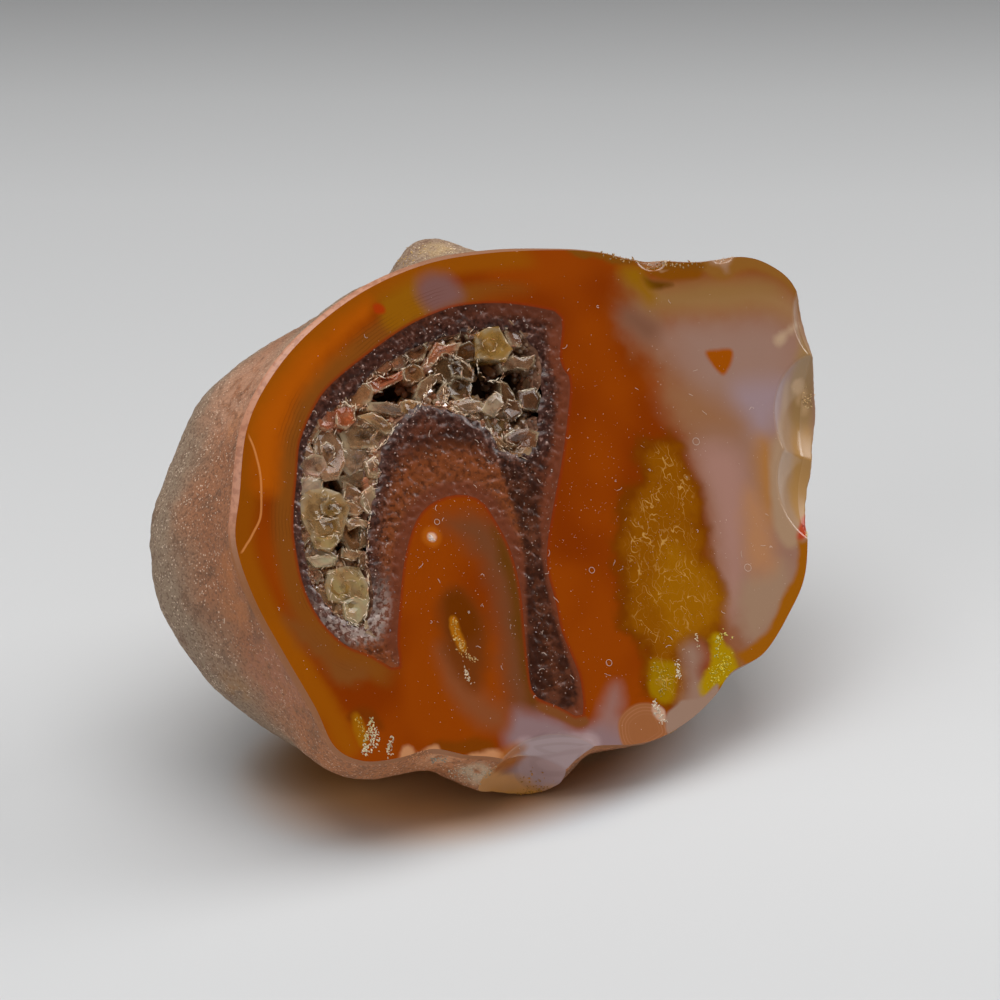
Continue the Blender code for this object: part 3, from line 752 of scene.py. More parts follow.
# %% [markdown]
# ## The pocket
#
# The pocket is a hollow about five millimetres deep. Its wall is a height
# field over the same outline: steep at the rim, lumpy at the bottom. Crystals
# will cover most of it, so it mainly has to be dark and uneven.

# %% Mesh of the pocket
POCKET_STEP = 0.34
WALL_WIDTH = 2.6                   # from the rim to where the floor is level
WALL_SHAPE = 2.2
FLOOR_LUMPS = ((2.4, 0.7), (0.9, 0.35))
FLOOR_DEPTH = 1.9                  # most of the floor is covered with crystals up to here
HOLE_SHARPNESS = 1.2               # more makes the holes narrower
WALL_START = 0.6                   # the wall begins this part of RIM_DROP below the face
# Open holes between the crystals: centre and radius.
HOLES = [
    (-18.9, 7.2, 1.6), (-18.1, 2.2, 1.3), (-11.0, 15.0, 1.4), (-9.2, 15.4, 1.5), (0.2, 13.8, 2.0),
    (3.4, 13.4, 1.5), (-20.2, 1.5, 0.9), (-16.0, 10.8, 0.6), (-0.1, 15.4, 1.0), (4.4, 10.6, 1.2)]


def pocket_depth(flat):
    """Depth of the pocket's wall and floor under points of the face."""
    inward = np.clip(inside_distance(flat, pocket_rim) / WALL_WIDTH, 0.0, 1.0)
    depth = FLOOR_DEPTH * (1.0 - (1.0 - inward) ** WALL_SHAPE)
    for *centre, radius in HOLES:
        away = np.linalg.norm(flat - centre, axis=1)
        depth += (POCKET_DEPTH - FLOOR_DEPTH) * hill(away, radius / HOLE_SHARPNESS)
    level = np.column_stack((flat, np.zeros(len(flat))))
    lumps = sum(height * noise_at(level, size, 20.0 + size) for size, height in FLOOR_LUMPS)
    return depth + lumps * inward + RIM_DROP * WALL_START


def make_pocket():
    """The wall and floor of the pocket."""
    flat, triangles = net(pocket_rim, None, POCKET_STEP)
    places = np.column_stack((flat, pocket_depth(flat)))
    piece = make_piece("pocket_wall", stone_points(places), triangles.tolist())
    store(piece, "pocket", inside_distance(flat, pocket_rim))
    store(piece, "sunk", places[:, 2])
    return piece


pocket_wall = make_pocket()
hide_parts("agate")

# %% [markdown]
# ## Shader helpers
#
# A material is a small network of nodes. A few helpers keep the networks short
# to write: one adds a node and fills its sockets, either with a value or with
# a link from another node, and one lays a colour over another where a mask is
# white. Colours are given as they look on screen, so another helper turns
# them into the surface's own colour under the light that falls on the face.

# %% Nodes, colours and paint
LIGHT_ON_STONE = 0.80              # how bright white paper would look at the face
WHITEST = 0.95                     # no painted surface is paler than this


def fill(tree, node, inputs):
    """Give each input of a node its value, or a link from another node."""
    for name, value in inputs.items():
        if isinstance(value, bpy.types.NodeSocket):
            tree.links.new(value, node.inputs[name])
        else:
            node.inputs[name].default_value = value


def add(tree, kind, inputs=None, **settings):
    """A new node with its settings, and with each input filled or linked."""
    node = tree.nodes.new(kind)
    for name, value in settings.items():
        setattr(node, name, value)
    fill(tree, node, inputs or {})
    return node


def seen(colour):
    """The surface colour that looks like this screen colour on the lit stone."""
    screen = np.array(colour) / 255
    linear = np.where(screen <= 0.04045, screen / 12.92, ((screen + 0.055) / 1.055) ** 2.4)
    return (*np.minimum(linear / LIGHT_ON_STONE, WHITEST).tolist(), 1.0)


def math(tree, operation, *values):
    """One step of arithmetic on masks and distances."""
    return add(tree, "ShaderNodeMath", dict(enumerate(values)), operation=operation).outputs[0]


def times(tree, first, *others):
    """Masks and numbers multiplied with each other."""
    for other in others:
        first = math(tree, "MULTIPLY", first, other)
    return first


def paint(tree, under, colour, mask, strength=None):
    """Lay a colour over another where the mask is white. Screen colours and links both serve."""
    under, colour = (c if isinstance(c, bpy.types.NodeSocket) else seen(c) for c in (under, colour))
    if strength is not None:
        mask = times(tree, mask, strength)
    return add(tree, "ShaderNodeMix", {0: mask, 6: under, 7: colour}, data_type="RGBA").outputs[2]


def ramp(tree, value, start, end):
    """A smooth step from 0 at the start to 1 at the end, which may lie below the start."""
    swap = start > end
    low, high = (end, start) if swap else (start, end)
    step = add(tree, "ShaderNodeMapRange", {0: value, 1: low, 2: high, 3: float(swap), 4: float(not swap)},
               interpolation_type="SMOOTHSTEP")
    return step.outputs[0]


def stored(tree, *names):
    """Numbers that were kept at the points of the mesh: one, or a list of several."""
    links = [add(tree, "ShaderNodeAttribute", attribute_name=name).outputs["Fac"] for name in names]
    return links if len(names) > 1 else links[0]


def place(tree):
    """The place on the stone, in metres."""
    return add(tree, "ShaderNodeTexCoord").outputs["Object"]


def along_axis(tree, axis):
    """The place along one axis of the frame, X, Y or Z, in metres."""
    return add(tree, "ShaderNodeSeparateXYZ", {0: place(tree)}).outputs[axis]


def distance_to(tree, centre, start):
    """Distance in metres from one place to another."""
    return add(tree, "ShaderNodeVectorMath", {0: start, 1: centre}, operation="DISTANCE").outputs["Value"]


def cloud(tree, size, detail, vector=None, output="Fac"):
    """Soft noise with hills about size millimetres apart."""
    inputs = {"Vector": vector or place(tree), "Scale": 1 / (size * MM), "Detail": detail}
    return add(tree, "ShaderNodeTexNoise", inputs).outputs[output]


def bumps(tree, height, strength, reach):
    """The normal of a surface with small bumps, whose height is given in metres by reach."""
    inputs = {"Strength": strength, "Distance": reach, "Height": height}
    return add(tree, "ShaderNodeBump", inputs).outputs[0]


print("white paper would look", LIGHT_ON_STONE, "on the stone")

# %% [markdown]
# ## Effects that several finishes share
#
# The effects below are node groups, each with its own named sockets. The zone
# edge turns a distance into a mask. The grains cut the surface into small
# cells, each with its own brightness, and let a few of them sparkle: with
# other sizes they serve the druse, the rind and the pocket.

# %% Shared node groups
GRAIN_LIFT = 0.5                   # how much the cells differ in height


def new_group(name, inputs, outputs):
    """An empty node group with its sockets, and its input and output nodes."""
    group = bpy.data.node_groups.new(name, "ShaderNodeTree")
    for socket, value in inputs.items():
        made = group.interface.new_socket(name=socket, in_out="INPUT", socket_type="NodeSocketFloat")
        made.default_value = value
    for socket, kind in outputs.items():
        group.interface.new_socket(name=socket, in_out="OUTPUT", socket_type=f"NodeSocket{kind}")
    return group, group.nodes.new("NodeGroupInput").outputs, group.nodes.new("NodeGroupOutput")


def place_group(tree, group, **inputs):
    """Put a node group into a network. The inputs' names are written with _ for a space."""
    named = {name.replace("_", " "): value for name, value in inputs.items()}
    return add(tree, "ShaderNodeGroup", named, node_tree=group).outputs


def make_zone_edge():
    """Mask of a zone: its distance, pushed in and out by a wave, through a soft step."""
    group, given, result = new_group(
        "zone edge", {"Distance": 0.0, "Softness": 0.5, "Waviness": 0.2, "Wave": 0.0}, {"Mask": "Float"})
    pushed = math(group, "MULTIPLY_ADD", given["Wave"], given["Waviness"], given["Distance"])
    low = math(group, "MULTIPLY", given["Softness"], -1.0)
    step = add(group, "ShaderNodeMapRange", {0: pushed, 1: low, 2: given["Softness"]},
               interpolation_type="SMOOTHSTEP")
    fill(group, result, {"Mask": step.outputs[0]})
    return group


def make_grains():
    """Random brightness of small cells, a sparkle on a few of them, and their height."""
    group, given, result = new_group(
        "grains", {"Size": 0.4, "Sparkle Share": 0.1, "Sparkle Size": 0.3},
        {"Brightness": "Float", "Sparkle": "Float", "Height": "Float"})
    scale = math(group, "DIVIDE", 1 / MM, given["Size"])
    cells = add(group, "ShaderNodeTexVoronoi", {"Vector": place(group), "Scale": scale}).outputs
    parts = add(group, "ShaderNodeSeparateColor", {0: cells["Color"]}).outputs
    chosen = math(group, "GREATER_THAN", parts[1], math(group, "SUBTRACT", 1.0, given["Sparkle Share"]))
    near = math(group, "LESS_THAN", cells["Distance"], given["Sparkle Size"])
    sunk = times(group, cells["Distance"], -1.0)
    fill(group, result, {
        "Brightness": parts[0],
        "Sparkle": times(group, chosen, near),
        "Height": math(group, "MULTIPLY_ADD", parts[2], GRAIN_LIFT, sunk),
    })
    return group


zone_edge = make_zone_edge()
grains = make_grains()
print("shared groups:", [group.name for group in bpy.data.node_groups])

# %% [markdown]
# ## Bands of the chalcedony
#
# One group paints all the zones, in the order of their table. The same group
# colours the polished face and the chips in the rind, because the bands run
# on into the stone. The narrow bands that follow the druse are painted from
# its distance: an olive seam, fine growth lines, and a red line at the border.

# %% The group that paints the bands
GROUND = ((125, 47, 0), (142, 60, 1))      # the orange under all zones, and its lighter clouds
EDGE_GOLD = (143, 74, 3)
SEAM_OLIVE = (127, 69, 17)
SEAM_WIDTH = 2.9                   # width of the olive seam outside the druse
SEAM_FADE = 1.6
WAVE_SIZE = 2.2                    # size of the waves that bend the zones' borders
WAVE_HEIGHT = 4.0
# Ripples in two broken spots: their spacing, how far in they reach, screen colour.
RIPPLES = {"cone_crack": (0.34, 1.5, (190, 132, 98)), "lip_lavender": (1.3, 4.0, (140, 110, 104))}
RIPPLE_STRENGTH = 0.24
THREADS = ((1.5, 0.013), (0.8, 0.018))   # size of the noise, and half the width of its lines
THREAD_WARP = 1.4
THREAD_TALL = 0.55                 # less than 1 draws the threads out along the slope
THREAD_GOLD = (206, 158, 84)
THREAD_STRENGTH = 0.62
GROWTH_SPACING = 0.36              # millimetres between two growth lines
GROWTH_BEND = 0.12                 # how much the waves bend them
GROWTH_DARK = (84, 40, 8)
GROWTH_STRENGTH = 0.30
BORDER_RED = (128, 44, 12)
BORDER_STRENGTH = 0.75


def moss_threads(tree):
    """Fine winding threads: the places where a warped noise passes through its middle value."""
    warp = cloud(tree, 1.3, 2.0, output="Color")
    shift = add(tree, "ShaderNodeVectorMath", {0: warp, 1: (THREAD_WARP * MM,) * 3, 2: place(tree)},
                operation="MULTIPLY_ADD").outputs[0]
    tall = add(tree, "ShaderNodeVectorMath", {0: shift, 1: (1.0, THREAD_TALL, THREAD_TALL)},
               operation="MULTIPLY").outputs[0]
    lines = []
    for size, width in THREADS:
        off = math(tree, "ABSOLUTE", math(tree, "SUBTRACT", cloud(tree, size, 1.0, tall), 0.5))
        lines.append(ramp(tree, off, width, width * 0.2))
    patches = ramp(tree, cloud(tree, 2.6, 2.0), 0.40, 0.60)
    both = math(tree, "MAXIMUM", lines[0], times(tree, lines[1], 0.7))
    return times(tree, both, math(tree, "MULTIPLY_ADD", patches, 0.85, 0.15))


def waves(tree, value, spacing):
    """A sine wave that repeats after so many millimetres."""
    return math(tree, "SINE", times(tree, value, 2 * pi / spacing))


def make_bands():
    """Colour of the chalcedony at each place, from the distances to its zones."""
    group, _, result = new_group("chalcedony bands", {}, {"Color": "Color"})
    druse, outer, edge = stored(group, "druse", "outer_side", "edge")
    wave = math(group, "MULTIPLY_ADD", cloud(group, WAVE_SIZE, 3.0), WAVE_HEIGHT, -WAVE_HEIGHT / 2)
    outside = times(group, druse, -1.0)
    outer_side = ramp(group, outer, -1.5, 1.5)
    colour = paint(group, *GROUND, ramp(group, cloud(group, 9.0, 1.0), 0.35, 0.65))
    colour = paint(group, colour, EDGE_GOLD, times(group, ramp(group, edge, 2.6, 1.0), outer_side))
    seam = times(group, ramp(group, outside, SEAM_WIDTH, SEAM_WIDTH - SEAM_FADE), outer_side)
    colour = paint(group, colour, SEAM_OLIVE, seam)

    for name, (shade, softness, waviness, _) in ZONES.items():
        edge_of_zone = place_group(group, zone_edge, Distance=stored(group, name), Softness=softness,
                                   Waviness=waviness, Wave=wave)
        colour = paint(group, colour, shade, edge_of_zone["Mask"])

    for name, (spacing, inmost, shade) in RIPPLES.items():
        within = stored(group, name)
        crest = times(group, ramp(group, waves(group, within, spacing), 0.1, 0.95),
                      ramp(group, within, 0.0, 0.15), ramp(group, within, inmost, inmost * 0.4))
        colour = paint(group, colour, shade, crest, RIPPLE_STRENGTH)

    threads = times(group, moss_threads(group), ramp(group, stored(group, "moss_heart"), -0.2, 1.2))
    colour = paint(group, colour, THREAD_GOLD, threads, THREAD_STRENGTH)

    bent = math(group, "MULTIPLY_ADD", wave, GROWTH_BEND, outside)
    where = times(group, ramp(group, outside, 2.8, 2.0), outer_side,
                  ramp(group, cloud(group, 5.0, 1.0), 0.42, 0.62))
    lines = times(group, ramp(group, waves(group, bent, GROWTH_SPACING), 0.35, 1.0), where)
    colour = paint(group, colour, GROWTH_DARK, lines, GROWTH_STRENGTH)
    colour = paint(group, colour, BORDER_RED, ramp(group, outside, 0.42, 0.05), BORDER_STRENGTH)
    fill(group, result, {"Color": colour})
    return group


bands = make_bands()
print("bands:", len(bands.nodes), "nodes")

# %% [markdown]
# ## Finish of the polished face
#
# Polished chalcedony is smooth, so a thin clear coat suits it. In the druse
# the polish shows a mosaic of cut crystals: each cell has its own darkness,
# and a few catch the light. The druse is red-brown under the arch, dark in its
# leg, grey beside the pocket and smoother along its borders.

# %% Material of the face
DRUSE_TOP = (38 * MM, 41 * MM)     # the druse is darker above these heights
DRUSE_CLEAR = (25 * MM, 20 * MM)   # and full of clear crystals below these
CHALCEDONY_IOR = 1.54


def new_material(name):
    """An empty material: its tree and its Principled shader."""
    material = bpy.data.materials.new(name)
    material.use_nodes = True
    tree = material.node_tree
    tree.nodes.clear()
    shader = add(tree, "ShaderNodeBsdfPrincipled")
    add(tree, "ShaderNodeOutputMaterial", {"Surface": shader.outputs[0]})
    return material, tree, shader


def grain_cells(tree, size, share, sparkle_size):
    """The shared grains with sizes of their own."""
    return place_group(tree, grains, Size=size, Sparkle_Share=share, Sparkle_Size=sparkle_size)


def druse_colour(tree):
    """Purple-brown of the druse, and how grainy it is at each place."""
    druse, pocket, outer, tongue, leg = stored(tree, "druse", "pocket", "outer_side", "tongue", "leg")
    height = along_axis(tree, "Z")
    value = cloud(tree, 1.6, 4.0)
    spots = cloud(tree, 0.45, 3.0)
    beside = times(tree, tongue, -1.0)
    heart = ramp(tree, leg, -0.35, 0.25)
    strip = times(tree, ramp(tree, druse, 1.9, 0.9), ramp(tree, outer, 0.5, -1.5))
    top = times(tree, ramp(tree, druse, 2.2, 1.2), ramp(tree, height, *DRUSE_TOP))
    near = ramp(tree, pocket, -3.4, -0.6)

    colour = paint(tree, (60, 27, 14), (94, 46, 26), ramp(tree, value, 0.40, 0.62))
    colour = paint(tree, colour, (124, 62, 26), ramp(tree, beside, 6.4, 3.6))
    colour = paint(tree, colour, (124, 66, 38), ramp(tree, beside, 1.9, 0.7))
    colour = paint(tree, colour, (72, 42, 34), ramp(tree, pocket, -2.2, -0.4), 0.8)
    colour = paint(tree, colour, (108, 52, 28), strip)
    colour = paint(tree, colour, (66, 32, 20), top, 0.5)
    in_leg = paint(tree, (50, 22, 10), (92, 48, 28), ramp(tree, value, 0.44, 0.66))
    colour = paint(tree, colour, in_leg, heart, 0.9)

    smooth_part = times(tree, math(tree, "MAXIMUM", strip, ramp(tree, beside, 1.6, 0.4)),
                        math(tree, "SUBTRACT", 1.0, heart))
    rough_part = times(tree, math(tree, "SUBTRACT", 1.0, times(tree, smooth_part, 0.75)),
                       math(tree, "MULTIPLY_ADD", near, 0.45, 0.7))
    blotch = times(tree, ramp(tree, spots, 0.50, 0.64), rough_part)
    colour = paint(tree, colour, (40, 17, 8), blotch, 0.7)
    milky = times(tree, ramp(tree, spots, 0.43, 0.30), rough_part, near)
    colour = paint(tree, colour, (150, 116, 104), milky, 0.6)
    clear = times(tree, ramp(tree, pocket, -2.4, -1.0), ramp(tree, height, *DRUSE_CLEAR),
                  ramp(tree, spots, 0.42, 0.56))
    return paint(tree, colour, (186, 164, 152), clear, 0.6), rough_part


def make_face_material():
    """Polished chalcedony with its bands, and the druse as a mosaic of cut crystals."""
    material, tree, shader = new_material("polished chalcedony")
    border, edge, crack, in_chip = stored(tree, "druse", "edge", "crack", "in_chip")
    in_druse = ramp(tree, border, -0.06, 0.10)
    druse, rough_part = druse_colour(tree)
    coarse = grain_cells(tree, 0.62, 0.03, 0.20)
    small = grain_cells(tree, 0.27, 0.07, 0.32)
    darkness = times(tree, coarse["Brightness"], small["Brightness"], rough_part)
    druse = paint(tree, druse, (34, 15, 9), darkness, 0.6)
    # Painted glints: a few grain cells are painted pale where they would catch the light.
    light = times(tree, math(tree, "MAXIMUM", coarse["Sparkle"], small["Sparkle"]), rough_part)
    druse = paint(tree, druse, (196, 168, 156), light, 0.6)
    colour = paint(tree, place_group(tree, bands)["Color"], druse, in_druse)

    # Painted highlight along the crack's border.
    crack_highlight = times(tree, ramp(tree, math(tree, "ABSOLUTE", crack), 0.16, 0.05),
                       ramp(tree, edge, 0.1, 0.6))
    # Painted highlight: a faint pale line along the borders of the chips.
    chip_edge_highlight = ramp(tree, math(tree, "ABSOLUTE", in_chip), 0.12, 0.02)
    colour = paint(tree, colour, (118, 54, 2), ramp(tree, crack, -0.05, 0.1), 0.28)
    colour = paint(tree, colour, (206, 132, 70), crack_highlight, 0.7)
    colour = paint(tree, colour, (198, 160, 132), chip_edge_highlight, 0.14)
    height = times(tree, coarse["Height"], in_druse, rough_part)
    fill(tree, shader, {
        "Base Color": colour,
        "Roughness": math(tree, "MULTIPLY_ADD", in_druse, 0.14, 0.14),
        "Normal": bumps(tree, height, 0.22, 0.00014),
        "Coat Weight": math(tree, "MULTIPLY_ADD", in_druse, -0.3, 0.3),
        "Coat Roughness": 0.05,
        "IOR": CHALCEDONY_IOR,
    })
    return material


face_material = make_face_material()
polished_face.data.materials.append(face_material)
print("face finish:", len(face_material.node_tree.nodes), "nodes")

# %% [markdown]
# ## Finish of the rind
#
# The rind is a crust of fine grains, red-brown beside the face and greyer
# towards the back, with pale grains that sparkle, partly painted glints. Its foot
# and a spot on the lower lip are painted lighter, as painted light. Where the ground
# edge meets the face it is smooth and pinkish, on the upper left partly as a painted
# reflection of the light, and where a chip went through it the chalcedony shows,
# with the same bands as on the face.

# %% Material of the rind
# Stains and crusts on the rind, and one spot of painted light on the lower lip: screen colour,
# place as (u, v, depth), radius in millimetres.
STAINS = {
    "orange_high": ((190, 116, 56), (-26.5, 16.2, 3.0), 2.2),
    "orange_middle": ((182, 112, 62), (-32.0, 2.6, 1.6), 3.0),
    "orange_low": ((176, 112, 66), (-32.4, -1.5, 3.0), 3.2),
    "gold_foot": ((160, 112, 60), (-33.5, -9.0, 9.5), 3.4),
    "pink_high": ((186, 140, 112), (-23.5, 20.0, 4.0), 9.0),
    "pink_side": ((164, 108, 82), (-30.0, -9.0, 3.0), 6.0),
    "grey_lip": ((206, 188, 160), (-13.2, -23.3, 3.2), 2.6),
    "grey_corner": ((200, 178, 150), (-17.2, -21.0, 1.6), 1.6),
    "gold_lip": ((178, 128, 56), (-6.2, -26.2, 5.8), 2.4),
    # Painted light: a lighter spot on the lower lip, where the rind lies in shade.
    "lip_painted_light": ((216, 152, 108), (-17.0, -21.6, 1.2), 3.6),
    "knob_gold": ((170, 140, 96), (1.2, 28.6, 4.2), 2.6),
}
STAIN_STRENGTH = 0.6
STAIN_CORE = 0.3                   # part of the radius over which a stain is full
KNOB_HEIGHT = (39 * MM, 43 * MM)   # the knob at the top is greyer, from this height to that
# Painted light: the rind is painted lighter towards its foot, near the paper.
FOOT_HEIGHT = (22 * MM, 6 * MM)    # the foot is redder, from this height down to that
PINK_ENDS = (-12 * MM, -2 * MM)    # along X, the pink of the ground edge fades from here to there


def make_rind_material():
    """Granular crust, ground edge, and fresh chalcedony in the chips."""
    material, tree, shader = new_material("granular rind")
    depth, in_chip, upper_left = stored(tree, "depth", "in_chip", "upper_left")
    height = along_axis(tree, "Z")
    drift = math(tree, "MULTIPLY_ADD", cloud(tree, 7.0, 4.0), 10.0, depth)
    grey_part = math(tree, "MAXIMUM", ramp(tree, drift, 9.0, 17.0),
                     times(tree, ramp(tree, height, *KNOB_HEIGHT), 0.9))
    coarse = grain_cells(tree, 0.42, 0.12, 0.26)
    fine = grain_cells(tree, 0.22, 0.18, 0.40)
    sparse = ramp(tree, cloud(tree, 3.2, 3.0), 0.38, 0.62)
    # Pale grains: partly the rind's own pale grains, partly painted glints.
    pale = times(tree, math(tree, "MAXIMUM", coarse["Sparkle"], fine["Sparkle"]),
                 math(tree, "MULTIPLY_ADD", sparse, 0.5, 0.15))

    colour = paint(tree, (152, 99, 66), (170, 110, 70), ramp(tree, height, *FOOT_HEIGHT))
    colour = paint(tree, colour, (142, 120, 98), grey_part)
    colour = paint(tree, colour, (112, 80, 58), ramp(tree, cloud(tree, 2.4, 4.0), 0.52, 0.7), 0.6)
    colour = paint(tree, colour, (92, 62, 44), ramp(tree, fine["Brightness"], 0.45, 1.0), 0.55)
    colour = paint(tree, colour, (222, 196, 172), pale)

    blots = ramp(tree, cloud(tree, 1.1, 4.0), 0.30, 0.60)
    for stain, centre, radius in STAINS.values():
        reach = distance_to(tree, on_face(*centre), place(tree))
        near = times(tree, ramp(tree, reach, radius * MM, radius * MM * STAIN_CORE), blots)
        colour = paint(tree, colour, stain, near, STAIN_STRENGTH)

    ground = ramp(tree, depth, CHAMFER + 0.12, CHAMFER - 0.06)
    fresh = ramp(tree, in_chip, -0.04, 0.06)
    # The ground edge: pink on the upper left, partly its own colour and partly a painted reflection of the
    # light; brown elsewhere.
    pink = paint(tree, (186, 130, 102), (164, 108, 82), ramp(tree, cloud(tree, 0.6, 3.0), 0.44, 0.64))
    pink = paint(tree, pink, (144, 98, 72), ramp(tree, along_axis(tree, "X"), *PINK_ENDS))
    edge_colour_and_reflection = paint(tree, (146, 92, 52), pink, ramp(tree, upper_left, -2.0, 2.0))
    colour = paint(tree, colour, edge_colour_and_reflection, ground, 0.9)
    colour = paint(tree, colour, place_group(tree, bands)["Color"], fresh)

    smooth = math(tree, "MAXIMUM", ground, fresh)
    lifted = math(tree, "MULTIPLY_ADD", fine["Height"], 0.5, coarse["Height"])
    fill(tree, shader, {
        "Base Color": colour,
        "Roughness": math(tree, "MULTIPLY_ADD", smooth, -0.42, 0.74),
        "Normal": bumps(tree, times(tree, lifted, math(tree, "SUBTRACT", 1.0, smooth)), 0.6, 0.00016),
        "IOR": 1.5,
    })
    return material


rind_material = make_rind_material()
rind.data.materials.append(rind_material)
print("rind finish:", len(rind_material.node_tree.nodes), "nodes")

# %% [markdown]
# ## Finish of the pocket
#
# Little light reaches the bottom of the pocket. Its wall is dark brown, painted
# darker inwards from the rim and darkest in the deep holes as painted shade, with
# small crystal faces near the rim that get painted glints.

# %% Material of the pocket
def make_pocket_material():
    """Dark wall of tiny crystals, with painted shade in its depths and painted glints near the rim."""
    material, tree, shader = new_material("pocket wall")
    inward, sunk = stored(tree, "pocket", "sunk")
    cells = grain_cells(tree, 0.6, 0.12, 0.35)
    fine = grain_cells(tree, 0.3, 0.08, 0.4)
    rim = paint(tree, (134, 96, 74), (84, 52, 36), cells["Brightness"])
    deep = paint(tree, (112, 78, 48), (66, 40, 20), fine["Brightness"])
    # Painted shade: darker inwards from the rim, and darkest in the deep holes.
    colour = paint(tree, rim, deep, ramp(tree, inward, 0.4, 2.0))
    colour = paint(tree, colour, (56, 30, 10), ramp(tree, sunk, 2.6, 4.0))
    # Painted glints near the rim.
    glint = times(tree, math(tree, "MAXIMUM", cells["Sparkle"], fine["Sparkle"]), 0.5)
    colour = paint(tree, colour, (180, 150, 120), glint, ramp(tree, inward, 2.2, 0.4))
    fill(tree, shader, {
        "Base Color": colour,
        "Roughness": 0.6,
        "Specular IOR Level": 0.2,
        "Normal": bumps(tree, cells["Height"], 0.8, 0.0003),
    })
    return material


pocket_material = make_pocket_material()
pocket_wall.data.materials.append(pocket_material)
print("pocket finish:", len(pocket_material.node_tree.nodes), "nodes")
